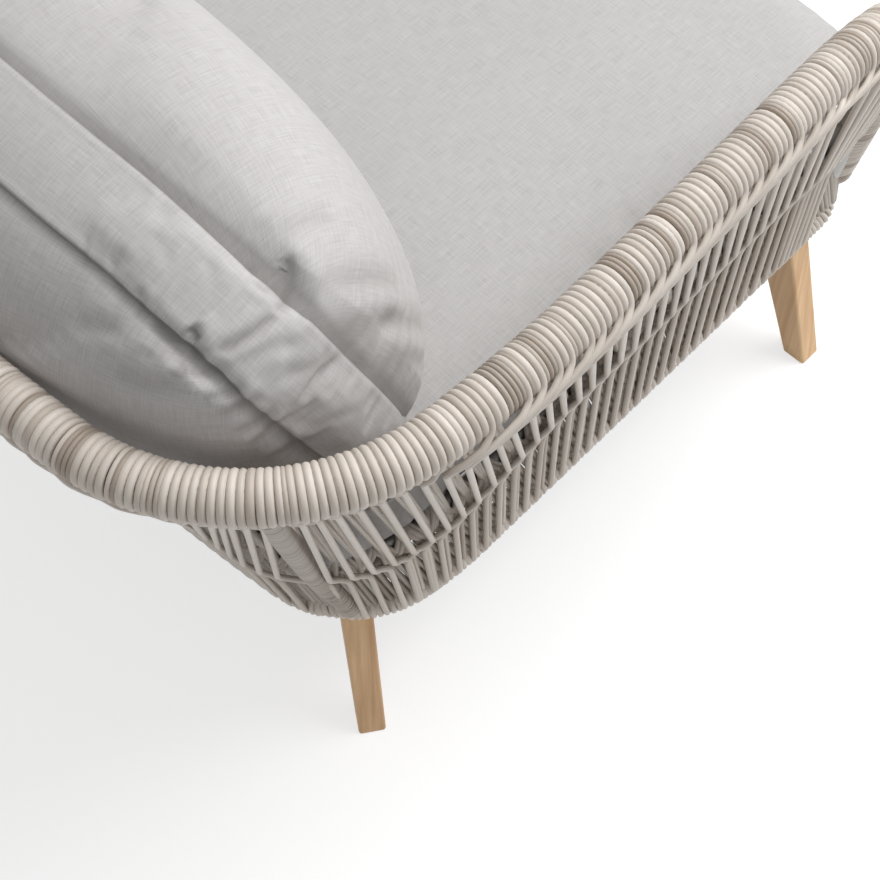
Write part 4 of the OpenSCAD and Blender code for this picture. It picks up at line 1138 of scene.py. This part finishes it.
# painted shade: the front rope takes low tints and the darker strand copy
makeStrands("frontRope", frontRope, [draw.uniform(0.0, 0.6) for _ in frontRope], ropeStrand,
            inner["rope"], 3, 520.0, paintedShadeStrand, [])


# plaited cover of the seat ring: leaves of three strands that lean alternately
plait = {"step": 0.0142, "slope": 0.0062, "strand": 0.0048, "seed": 91}


def plaitLines():
    lines, owner = [], []
    n = int(seatLength / plait["step"] / 2) * 2
    for k in range(n):
        s = k * seatLength / n
        lean = plait["slope"] if k % 2 else -plait["slope"]
        for part in (-1, 0, 1):
            line = []
            for deg in range(-120, 185, 20):
                a = math.radians(deg)
                shift = lean * math.sin((a - math.radians(35)) * 0.9) * 1.4 + part * plait["strand"] * 0.93
                p, _, out = seatAt(s + shift)
                r = chair["ringR"] + chair["gap"] + plait["strand"] / 2 + (0.0022 if part == 0 else 0.0012)
                line.append(p + r * (math.cos(a) * out + math.sin(a) * np.array([0.0, 0.0, 1.0])))
            lines.append(line)
            owner.append(k)
    return lines, owner


lines, owner = plaitLines()
draw = random.Random(plait["seed"])
leafTone = [draw.uniform(0.4, 1.0) for _ in range(max(owner) + 1)]
makeStrands("seatPlait", lines, [leafTone[k] for k in owner], roundStrand, plait["strand"], 6, 0.0,
            wallStrand, ["seat_braid"])
print("seat ring plaited")


# cushions: panels stitched to a boxing strip, swelled in a short cloth simulation

# a square grid point onto the outline with eased corners, and its share of the way out
def squareToOutline(p, q, rounding):
    return p * (1 - rounding * abs(q) ** 8), q * (1 - rounding * abs(p) ** 8), max(abs(p), abs(q))


def swellAt(x, y, reach, power, edge):
    dome = math.sqrt(max(0.0, 1 - abs(x) ** power) * max(0.0, 1 - abs(y) ** power))
    return dome * math.sqrt(max(0.0, 1 - reach ** edge))


# places from -1 to 1 that crowd towards the ends, with fine rows by both ends
def spaced(n, fine, crowd=0.0):
    share = np.linspace(-1, 1, n)
    inside = (1 - fine[-1]) * share * (1 + crowd - crowd * share ** 2)
    low = np.array([-1.0] + [-1 + f for f in fine[:-1]])
    return np.concatenate([low, inside, -low[::-1]])


# lengths over the cloth from the middle lines of a panel's grid of points
def clothLengths(grid):
    across = np.linalg.norm(np.diff(grid, axis=0), axis=2)
    along = np.linalg.norm(np.diff(grid, axis=1), axis=2)
    u = np.concatenate([np.zeros((1, grid.shape[1])), np.cumsum(across, axis=0)])
    v = np.concatenate([np.zeros((grid.shape[0], 1)), np.cumsum(along, axis=1)], axis=1)
    middle = u[grid.shape[0] // 2], v[:, grid.shape[1] // 2]
    return u - middle[0][None, :], v - middle[1][:, None]


# vertices, quads, UVs and seam facts of a boxed cushion in its own axes
def buildCushion(spec, cols, rows, strips):
    verts, info, index = [], [], {}

    def outline(x, y, w):
        bow = spec["topBow"] if y > 0 else -spec["drawIn"]
        return (x * (1 + spec["belly"] * (1 - y * y) * (1 - 0.4 * y)) * w / 2,
                y * (1 + bow * (1 - x * x)) * spec["height"] / 2)

    faces, faceUv = [], []
    nc, nr = len(cols), len(rows)
    for panel, sign in (("up", 1.0), ("down", -1.0)):
        w, crown, swell = (spec[key + ("Up" if sign > 0 else "Down")] for key in ("w", "crown", "swell"))
        for i, p in enumerate(cols):
            for j, q in enumerate(rows):
                x, y, reach = squareToOutline(p, q, spec["corner"])
                px, py = outline(x, y, w)
                h = crown * swellAt(x, y, reach, swell, spec["edge"])
                index[(panel, i, j)] = len(verts)
                verts.append((px, py, sign * (spec["boxing"] / 2 + h)))
                far = (1 - reach) * min(w, spec["height"]) / 2
                info.append((0 if sign > 0 else 1, far, p, q))
        grid = np.array([[verts[index[(panel, i, j)]] for j in range(nr)] for i in range(nc)])
        u, v = clothLengths(grid)
        for i in range(nc - 1):
            for j in range(nr - 1):
                quad = [(i, j), (i + 1, j), (i + 1, j + 1), (i, j + 1)]
                if sign < 0:
                    quad = quad[::-1]
                faces.append([index[(panel, a, b)] for a, b in quad])
                faceUv.append([(u[a, b] + (0.0 if sign > 0 else 3.0), v[a, b]) for a, b in quad])
    ring = [(i, 0) for i in range(nc - 1)] + [(nc - 1, j) for j in range(nr - 1)]
    ring += [(i, nr - 1) for i in range(nc - 1, 0, -1)] + [(0, j) for j in range(nr - 1, 0, -1)]
    count = len(ring)
    previous = [index[("down", i, j)] for i, j in ring]
    runs = [0.0]
    for k in range(count):
        a, b = np.array(verts[previous[k]]), np.array(verts[previous[(k + 1) % count]])
        runs.append(runs[-1] + float(np.linalg.norm(a - b)))
    rowsOf = [previous]
    for v in strips[1:-1]:
        row = []
        for k, (i, j) in enumerate(ring):
            a = np.array(verts[index[("down", i, j)]])
            b = np.array(verts[index[("up", i, j)]])
            f = (v + 1) / 2
            p = a + (b - a) * f
            n = unit(np.array([p[0] / spec["wUp"] ** 2, p[1] / spec["height"] ** 2, 0.0]) + 1e-12)
            p = p + n * spec["bulge"] * (1 - v * v)
            row.append(len(verts))
            verts.append(tuple(p))
            info.append((2, (1 - abs(v)) * spec["boxing"] / 2, runs[k], v))
        rowsOf.append(row)
    rowsOf.append([index[("up", i, j)] for i, j in ring])
    for r in range(len(rowsOf) - 1):
        for k in range(count):
            m = (k + 1) % count
            faces.append([rowsOf[r][k], rowsOf[r][m], rowsOf[r + 1][m], rowsOf[r + 1][k]])
            z0, z1 = strips[r] * spec["boxing"] / 2, strips[r + 1] * spec["boxing"] / 2
            u0, u1 = runs[k] + 6.0, runs[k + 1] + 6.0
            faceUv.append([(u0, z0), (u1, z0), (u1, z1), (u0, z1)])
    return np.array(verts), faces, faceUv, info, ring, index, rowsOf


swellRun = {"quality": 6, "mass": 0.35, "stretch": 12, "shear": 6, "bend": 0.25, "damping": 2, "frames": 20}


# one short cloth simulation; gives how far each vertex moved
def inflate(name, verts, faces, seamSet, spec):
    mesh = bpy.data.meshes.new(name + "Sim")
    mesh.from_pydata([tuple(v) for v in verts], [], faces)
    body = bpy.data.objects.new(name + "Sim", mesh)
    bpy.context.scene.collection.objects.link(body)
    group = body.vertex_groups.new(name="seam")
    group.add(sorted(seamSet), 1.0, "REPLACE")
    cloth = body.modifiers.new("Cloth", "CLOTH")
    s = cloth.settings
    s.quality = swellRun["quality"]
    s.mass = swellRun["mass"]
    s.tension_stiffness = s.compression_stiffness = swellRun["stretch"]
    s.shear_stiffness = swellRun["shear"]
    s.bending_stiffness = swellRun["bend"]
    s.air_damping = swellRun["damping"]
    s.use_pressure = True
    s.uniform_pressure_force = spec["pressure"]
    s.effector_weights.gravity = 0.0
    s.vertex_group_shrink = "seam"
    s.shrink_min = spec["slack"]
    s.shrink_max = spec["gather"]
    cloth.point_cache.frame_start, cloth.point_cache.frame_end = 1, swellRun["frames"]
    scene = bpy.context.scene
    for step in range(1, swellRun["frames"] + 1):
        scene.frame_set(step)
    made = body.evaluated_get(bpy.context.evaluated_depsgraph_get()).to_mesh()
    moved = np.zeros(len(verts) * 3)
    made.vertices.foreach_get("co", moved)
    moved = moved.reshape(-1, 3) - verts
    body.evaluated_get(bpy.context.evaluated_depsgraph_get()).to_mesh_clear()
    bpy.data.objects.remove(body)
    scene.frame_set(1)
    size = np.linalg.norm(moved, axis=1, keepdims=True)
    print(name, "simulated, moved up to", round(float(size.max()) * 1000, 1), "mm")
    return moved * np.minimum(1.0, spec["cap"] / np.maximum(size, 1e-9))


# a value on the coarse grid, read between its points
def gridSample(values, cols, rows, p, q):
    i = min(max(int(np.searchsorted(cols, p)) - 1, 0), len(cols) - 2)
    j = min(max(int(np.searchsorted(rows, q)) - 1, 0), len(rows) - 2)
    f = min(max((p - cols[i]) / (cols[i + 1] - cols[i]), 0.0), 1.0)
    g = min(max((q - rows[j]) / (rows[j + 1] - rows[j]), 0.0), 1.0)
    f, g = f * f * (3 - 2 * f) * 0.5 + f * 0.5, g * g * (3 - 2 * g) * 0.5 + g * 0.5
    return ((values[i][j] * (1 - f) + values[i + 1][j] * f) * (1 - g)
            + (values[i][j + 1] * (1 - f) + values[i + 1][j + 1] * f) * g)


def makeCushion(name, spec, place, material, node, shaping):
    coarseCols = np.linspace(-1, 1, spec["coarse"][0])
    coarseRows = np.linspace(-1, 1, spec["coarse"][1])
    strips = np.linspace(-1, 1, spec["coarse"][2])
    verts, faces, _, info, ring, index, rowsOf = buildCushion(spec, coarseCols, coarseRows, strips)
    seams = set(rowsOf[0]) | set(rowsOf[-1])
    shift = inflate(name, verts, faces, seams, spec)
    nc, nr = len(coarseCols), len(coarseRows)
    panelShift = {panel: [[shift[index[(panel, i, j)]] for j in range(nr)] for i in range(nc)]
                  for panel in ("up", "down")}
    perimeter = [(coarseCols[i], coarseRows[j]) for i, j in ring]
    stripShift = np.array([[shift[v] for v in row] for row in rowsOf])
    fineCols = spaced(spec["fine"][0], spec["fineRows"], spec["crowd"])
    fineRows = spaced(spec["fine"][1], spec["fineRows"], spec["crowd"] * 0.4)
    fineStrips = spaced(spec["fine"][2], [f * 3 for f in spec["fineRows"]])
    verts, faces, faceUv, info, ring, index, rowsOf = buildCushion(spec, fineCols, fineRows, fineStrips)
    count = len(perimeter)

    # share of the way round the outline, counted in coarse steps
    def around(p, q):
        stepC, stepR = coarseCols[1] - coarseCols[0], coarseRows[1] - coarseRows[0]
        if q <= -1 + 1e-9:
            return (p + 1) / stepC
        if p >= 1 - 1e-9:
            return (nc - 1) + (q + 1) / stepR
        if q >= 1 - 1e-9:
            return (nc - 1) + (nr - 1) + (1 - p) / stepC
        return 2 * (nc - 1) + (nr - 1) + (1 - q) / stepR

    ringShare = [around(fineCols[i], fineRows[j]) for i, j in ring]
    moved = np.zeros_like(verts)
    for panel in ("up", "down"):
        for i, p in enumerate(fineCols):
            for j, q in enumerate(fineRows):
                moved[index[(panel, i, j)]] = gridSample(panelShift[panel], coarseCols, coarseRows, p, q)
    for r, v in enumerate(fineStrips[1:-1], 1):
        level = (v + 1) / 2 * (len(strips) - 1)
        r0 = min(int(level), len(strips) - 2)
        g = level - r0
        for k, share in enumerate(ringShare):
            k0 = int(share) % count
            f = share - int(share)
            a = stripShift[r0][k0] * (1 - f) + stripShift[r0][(k0 + 1) % count] * f
            b = stripShift[r0 + 1][k0] * (1 - f) + stripShift[r0 + 1][(k0 + 1) % count] * f
            moved[rowsOf[r][k]] = a * (1 - g) + b * g
    still = place(verts)
    verts = verts + moved
    mesh = bpy.data.meshes.new(name)
    mesh.from_pydata([tuple(v) for v in verts], [], faces)
    normals = np.zeros(len(verts) * 3)
    mesh.vertices.foreach_get("normal", normals)
    normals = normals.reshape(-1, 3)
    verts, seam = shaping(verts, normals, info)
    verts = place(verts)
    mesh.vertices.foreach_set("co", verts.astype(np.float32).ravel())
    mesh.update()
    placedNormals = np.zeros(len(verts) * 3)
    mesh.vertices.foreach_get("normal", placedNormals)
    verts, creaseShade = foldCloth(verts, placedNormals.reshape(-1, 3), spec["folds"], facts(info)[1], still)
    mesh.vertices.foreach_set("co", verts.astype(np.float32).ravel())
    layer = mesh.uv_layers.new(name="cloth")
    layer.data.foreach_set("uv", np.array([uv for face in faceUv for uv in face], np.float32).ravel())
    # seam and crease nearness, stored for the cover's painted shade
    attribute = mesh.attributes.new("seam", "FLOAT", "POINT")
    attribute.data.foreach_set("value", seam.astype(np.float32))
    attribute = mesh.attributes.new("creaseShade", "FLOAT", "POINT")
    attribute.data.foreach_set("value", creaseShade.astype(np.float32))
    mesh.materials.append(material)
    mesh.polygons.foreach_set("use_smooth", [True] * len(mesh.polygons))
    mesh.update()
    piece = bpy.data.objects.new(name, mesh)
    bpy.context.scene.collection.objects.link(piece)
    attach(piece, node)
    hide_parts(node)
    print(name, len(mesh.polygons), "faces")
    return piece


# smooth one-way noise from a few sines of fixed phase
def waveNoise(x, seed, scale):
    draw = random.Random(seed)
    return sum(np.sin(x * scale * draw.uniform(0.55, 1.7) + draw.uniform(0, 6.28)) for _ in range(5)) / 3.0


# presses creases into the cloth along lines on it: (depth, width, lip, points), fading at both ends, and
# gives a painted-shade mask that darkens the creases
def foldCloth(verts, normals, folds, far, still):
    push, shade = np.zeros(len(verts)), np.zeros(len(verts))
    for depth, width, lip, points in folds:
        line = np.array(points)
        run = np.concatenate([[0.0], np.cumsum(np.linalg.norm(np.diff(line, axis=0), axis=1))])
        close = np.linalg.norm(still - line.mean(axis=0), axis=1) < run[-1] + width * 6
        picked = np.nonzero(close)[0]
        best, share = np.full(len(picked), 1e9), np.zeros(len(picked))
        for k in range(len(line) - 1):
            along = line[k + 1] - line[k]
            f = np.clip(((still[picked] - line[k]) @ along) / (along @ along), 0, 1)
            d = np.linalg.norm(still[picked] - line[k] - f[:, None] * along, axis=1)
            better = d < best
            best[better] = d[better]
            share[better] = ((run[k] + f * (run[k + 1] - run[k])) / run[-1])[better]
        fade = np.clip(1 - np.abs(2 * share - 1) ** 5, 0, 1)
        press = np.exp(-(best / width) ** 2) * fade
        push[picked] += -depth * press + lip * np.exp(-((best - width * 2.2) / (width * 1.2)) ** 2) * fade
        # painted shade: darker where a crease is deep
        shade[picked] = np.maximum(shade[picked], press * min(1.0, depth / 0.003))
    push *= 1 - 0.85 * bell(far, 0.0045)
    return verts + normals * push[:, None], shade


def bell(d, width):
    return np.exp(-(d / width) ** 2)


def facts(info):
    panel = np.array([i[0] for i in info])
    far = np.array([i[1] for i in info])
    return panel, far


# draws the cloth in at the seams and gives how near each point is to one, which darkens the cover along the
# seams as painted shade
def seamShape(verts, normals, info, groove, shoulder):
    far = facts(info)[1]
    lift = -groove * bell(far, 0.0012) + shoulder * bell(far - 0.003, 0.002)
    return verts + normals * lift[:, None], bell(far, 0.0012)


cover = {"backSeam": (0.0010, 0.0005), "backSoft": 0.0013, "backGather": (0.0002, 0.0004),
         "seatSeam": (0.0013, 0.0008), "seatSoft": 0.0009, "seatGather": 0.0006}


def shapeBack(verts, normals, info):
    panel, far = facts(info)
    verts, seam = seamShape(verts, normals, info, *cover["backSeam"])
    x, y, z = verts[:, 0], verts[:, 1], verts[:, 2]
    soft = cover["backSoft"] * waveNoise(x * 1.0 + z * 0.6, 3, 21.0) * waveNoise(y + z * 0.4, 4, 17.0)
    # gathers that run in from the seams, stronger by the corners
    corner = np.clip((np.abs(x) / 0.32) ** 4, 0, 1)
    alongSeam = np.where(np.abs(x) * 0.42 > np.abs(y) * 1.0, y, x)
    gathers = waveNoise(alongSeam + 0.35 * far * np.sign(x), 5, 260.0)
    gathers = gathers * np.exp(-far / 0.028) * (cover["backGather"][0] + cover["backGather"][1] * corner)
    gathers = np.where(panel == 2, gathers * 0.35, gathers)
    out = verts + normals * (soft + gathers * np.clip(far / 0.004, 0, 1))[:, None]
    return out, seam


def shapeSeat(verts, normals, info):
    far = facts(info)[1]
    verts, seam = seamShape(verts, normals, info, *cover["seatSeam"])
    x, y = verts[:, 0], verts[:, 1]
    soft = cover["seatSoft"] * waveNoise(x + y * 0.3, 13, 15.0) * waveNoise(y - x * 0.2, 14, 12.0)
    gathers = waveNoise(x + y, 15, 200.0) * np.exp(-far / 0.03) * cover["seatGather"]
    return verts + normals * (soft + gathers)[:, None], seam


# creases of the back cushion, in metres on the chair
backFolds = [
    (0.0034, 0.0030, 0.0016, [(-0.300, 0.296, 0.650), (-0.303, 0.284, 0.653), (-0.306, 0.273, 0.655),
     (-0.307, 0.263, 0.657), (-0.308, 0.255, 0.658)]),
    (0.0034, 0.0036, 0.0012, [(-0.308, 0.255, 0.658), (-0.306, 0.246, 0.661), (-0.302, 0.236, 0.666),
     (-0.297, 0.238, 0.670)]),
    (0.0095, 0.0066, 0.0024, [(-0.290, 0.234, 0.674), (-0.298, 0.233, 0.671), (-0.301, 0.237, 0.667)]),
    (0.0020, 0.0028, 0.0008, [(-0.286, 0.253, 0.671), (-0.293, 0.252, 0.669), (-0.299, 0.248, 0.667),
     (-0.304, 0.247, 0.662)]),
    (0.0018, 0.0024, 0.0006, [(-0.275, 0.249, 0.673), (-0.281, 0.248, 0.671), (-0.287, 0.239, 0.673)]),
    (0.0075, 0.0050, 0.0018, [(-0.277, 0.298, 0.656), (-0.281, 0.299, 0.655), (-0.286, 0.301, 0.653)]),
    (0.0062, 0.0046, 0.0022, [(-0.255, 0.313, 0.653), (-0.264, 0.312, 0.651), (-0.272, 0.312, 0.650),
     (-0.280, 0.312, 0.648), (-0.287, 0.305, 0.649), (-0.297, 0.303, 0.648)]),
    (0.0020, 0.0030, 0.0008, [(-0.237, 0.302, 0.662), (-0.243, 0.307, 0.658), (-0.248, 0.314, 0.653)]),
    (0.0014, 0.0026, 0.0005, [(-0.211, 0.301, 0.665), (-0.217, 0.309, 0.659)]),
    (0.0014, 0.0026, 0.0005, [(-0.185, 0.300, 0.666), (-0.191, 0.309, 0.660), (-0.199, 0.317, 0.656)]),
    (0.0030, 0.0048, 0.0016, [(-0.308, 0.298, 0.642), (-0.300, 0.309, 0.641), (-0.292, 0.317, 0.642),
     (-0.281, 0.324, 0.635)]),
    (0.0028, 0.0046, 0.0016, [(-0.318, 0.293, 0.633), (-0.313, 0.305, 0.630), (-0.304, 0.317, 0.627)]),
    (0.0028, 0.0046, 0.0016, [(-0.324, 0.287, 0.621), (-0.319, 0.301, 0.621), (-0.310, 0.311, 0.614)]),
    (0.0026, 0.0044, 0.0014, [(-0.329, 0.282, 0.607), (-0.325, 0.296, 0.599), (-0.318, 0.306, 0.594)]),
    (0.0026, 0.0044, 0.0014, [(-0.334, 0.275, 0.590), (-0.330, 0.287, 0.588), (-0.321, 0.302, 0.574)]),
    (0.0022, 0.0040, 0.0012, [(-0.340, 0.261, 0.551), (-0.335, 0.277, 0.558), (-0.325, 0.294, 0.548)]),
    (0.0022, 0.0050, 0.0012, [(-0.297, 0.304, 0.646), (-0.288, 0.313, 0.646), (-0.274, 0.320, 0.643),
     (-0.259, 0.325, 0.642)]),
    (0.0016, 0.0060, 0.0010, [(-0.242, 0.324, 0.646), (-0.226, 0.331, 0.639), (-0.208, 0.337, 0.635)]),
    (0.0018, 0.0070, 0.0010, [(-0.296, 0.318, 0.634), (-0.272, 0.330, 0.625), (-0.243, 0.338, 0.618)]),
    (0.0006, 0.0042, 0.0003, [(-0.310, 0.288, 0.645), (-0.314, 0.274, 0.646), (-0.320, 0.255, 0.643)]),
    (0.0007, 0.0042, 0.0003, [(-0.322, 0.284, 0.627), (-0.327, 0.265, 0.626), (-0.331, 0.246, 0.618)]),
    (0.0006, 0.0042, 0.0003, [(-0.332, 0.276, 0.603), (-0.334, 0.258, 0.599), (-0.337, 0.239, 0.589)]),
    (0.0005, 0.0040, 0.0002, [(-0.338, 0.266, 0.571), (-0.340, 0.246, 0.566), (-0.342, 0.224, 0.551)]),
    (0.0016, 0.0070, 0.0010, [(-0.326, 0.236, 0.633), (-0.327, 0.216, 0.619), (-0.321, 0.173, 0.575),
     (-0.310, 0.136, 0.511)]),
    (0.0014, 0.0070, 0.0008, [(-0.309, 0.234, 0.660), (-0.310, 0.214, 0.650), (-0.309, 0.183, 0.620),
     (-0.306, 0.154, 0.576)]),
    (0.0014, 0.0060, 0.0008, [(-0.335, 0.228, 0.597), (-0.335, 0.208, 0.579), (-0.330, 0.175, 0.543),
     (-0.320, 0.145, 0.488)]),
    (0.0012, 0.0060, 0.0006, [(-0.276, 0.228, 0.678), (-0.277, 0.211, 0.675), (-0.279, 0.182, 0.657)]),
    (0.0005, 0.0036, 0.0003, [(-0.220, 0.275, 0.675), (-0.234, 0.276, 0.673), (-0.245, 0.282, 0.670)]),
    (0.0004, 0.0034, 0.0002, [(-0.258, 0.264, 0.673), (-0.269, 0.268, 0.670), (-0.277, 0.277, 0.666)]),
]
seatSpec = {
    "wUp": 0.714, "wDown": 0.650, "height": 0.652, "boxing": 0.126, "crownUp": 0.024, "crownDown": 0.0,
    "topBow": -0.015, "drawIn": 0.015, "belly": 0.0, "corner": 0.062,
    "swellUp": 4.0, "swellDown": 4.0, "edge": 30.0,
    "bulge": 0.002, "crowd": 0.0, "folds": [],
    "coarse": (44, 40, 9), "fine": (100, 90, 18), "fineRows": [0.004, 0.010, 0.022],
    "pressure": 0.25, "slack": -0.01, "gather": 0.02, "cap": 0.006, "fill": 0.9,
}
backSpec = {
    "wUp": 0.636, "wDown": 0.636, "height": 0.268, "boxing": 0.062, "crownUp": 0.114, "crownDown": 0.093,
    "topBow": 0.08, "drawIn": 0.015, "belly": 0.07, "corner": 0.074,
    "swellUp": 2.9, "swellDown": 2.3, "edge": 26.0,
    "bulge": 0.003, "crowd": 0.35, "folds": backFolds,
    "coarse": (60, 36, 7), "fine": (210, 120, 22), "fineRows": [0.006, 0.014, 0.03],
    "pressure": 1.2, "slack": -0.02, "gather": 0.01, "cap": 0.008, "fill": 0.75,
    "lean": 20.0, "footY": 0.187, "stand": 0.013,
}
seatTop = chair["seatZ"] + braidR + chair["gap"] + seatSpec["boxing"]
seatMidY = ringFrontY + 0.004 + seatSpec["height"] / 2


def placeSeat(verts):
    out = verts + np.array([0.0, seatMidY, seatTop - seatSpec["boxing"] / 2])
    out[:, 2] = np.maximum(out[:, 2], seatTop - seatSpec["boxing"])
    return out


def placeBack(verts):
    lean = math.radians(backSpec["lean"])
    y = verts[:, 1] + backSpec["height"] / 2
    z = verts[:, 2]
    out = np.empty_like(verts)
    out[:, 0] = verts[:, 0]
    out[:, 1] = backSpec["footY"] + y * math.sin(lean) - z * math.cos(lean)
    out[:, 2] = seatTop + backSpec["stand"] + y * math.cos(lean) + z * math.sin(lean)
    return out


makeCushion("seatCushion", seatSpec, placeSeat, seatLinen, "seat_cushion", shapeSeat)
makeCushion("backCushion", backSpec, placeBack, backLinen, "back_cushion", shapeBack)
print("cushions filled")


# floor, backdrop and lamps
stageLook = {"floor": 0.80, "seenFloor": 0.44, "lift": 0.67, "world": 0.42, "half": 6.0}
lampLook = {"place": (-0.7, -1.9, 3.2), "target": (0.0, 0.0, 0.3), "size": 2.6, "power": 118.0}


# 1 where the camera, a gloss or a clear piece looks straight at it
def seenPlainly(tree, light):
    seen = mathNode(tree, "MAXIMUM", light.outputs["Is Camera Ray"], light.outputs["Is Glossy Ray"])
    return mathNode(tree, "MAXIMUM", seen, light.outputs["Is Transmission Ray"])


def makeStage():
    mesh = bpy.data.meshes.new("floor")
    h = stageLook["half"]
    mesh.from_pydata([(-h, -h, 0), (h, -h, 0), (h, h, 0), (-h, h, 0)], [], [(0, 1, 2, 3)])
    floor = bpy.data.objects.new("floor", mesh)
    bpy.context.scene.collection.objects.link(floor)
    material, tree, shader = newMaterial("floorPaper")
    shader.inputs["Roughness"].default_value = 0.9
    shader.inputs["Specular IOR Level"].default_value = 0.0
    light = tree.nodes.new("ShaderNodeLightPath")
    paper = mixColour(tree, "MIX", light.outputs["Is Camera Ray"], grey(stageLook["floor"]),
                      grey(stageLook["seenFloor"]))
    tree.links.new(paper, shader.inputs["Base Color"])
    seen = seenPlainly(tree, light)
    glow = tree.nodes.new("ShaderNodeEmission")
    tree.links.new(mathNode(tree, "MULTIPLY", seen, stageLook["lift"]), glow.inputs["Strength"])
    both = tree.nodes.new("ShaderNodeAddShader")
    tree.links.new(shader.outputs[0], both.inputs[0])
    tree.links.new(glow.outputs[0], both.inputs[1])
    tree.links.new(both.outputs[0], tree.nodes["Material Output"].inputs["Surface"])
    mesh.materials.append(material)
    world = bpy.data.worlds.new("studio")
    bpy.context.scene.world = world
    world.use_nodes = True
    tree = world.node_tree
    tree.nodes.clear()
    output = tree.nodes.new("ShaderNodeOutputWorld")
    back = addNode(tree, "ShaderNodeBackground", None, {"Color": (1.0, 1.0, 1.0, 1.0)})
    seen = seenPlainly(tree, tree.nodes.new("ShaderNodeLightPath"))
    tree.links.new(mathNode(tree, "MULTIPLY_ADD", seen, 1.0 - stageLook["world"], stageLook["world"]),
                   back.inputs["Strength"])
    tree.links.new(back.outputs[0], output.inputs["Surface"])


def addLamp(name, look):
    data = bpy.data.lights.new(name, "AREA")
    data.shape = "DISK"
    data.size = look["size"]
    data.energy = look["power"]
    lamp = bpy.data.objects.new(name, data)
    lamp.location = look["place"]
    lamp.rotation_mode = "QUATERNION"
    lamp.rotation_quaternion = (Vector(look["target"]) - Vector(look["place"])).to_track_quat("-Z", "Y")
    bpy.context.scene.collection.objects.link(lamp)


makeStage()
addLamp("keyLamp", lampLook)
scene = bpy.context.scene
scene.view_settings.view_transform = "Standard"
print("stage set")
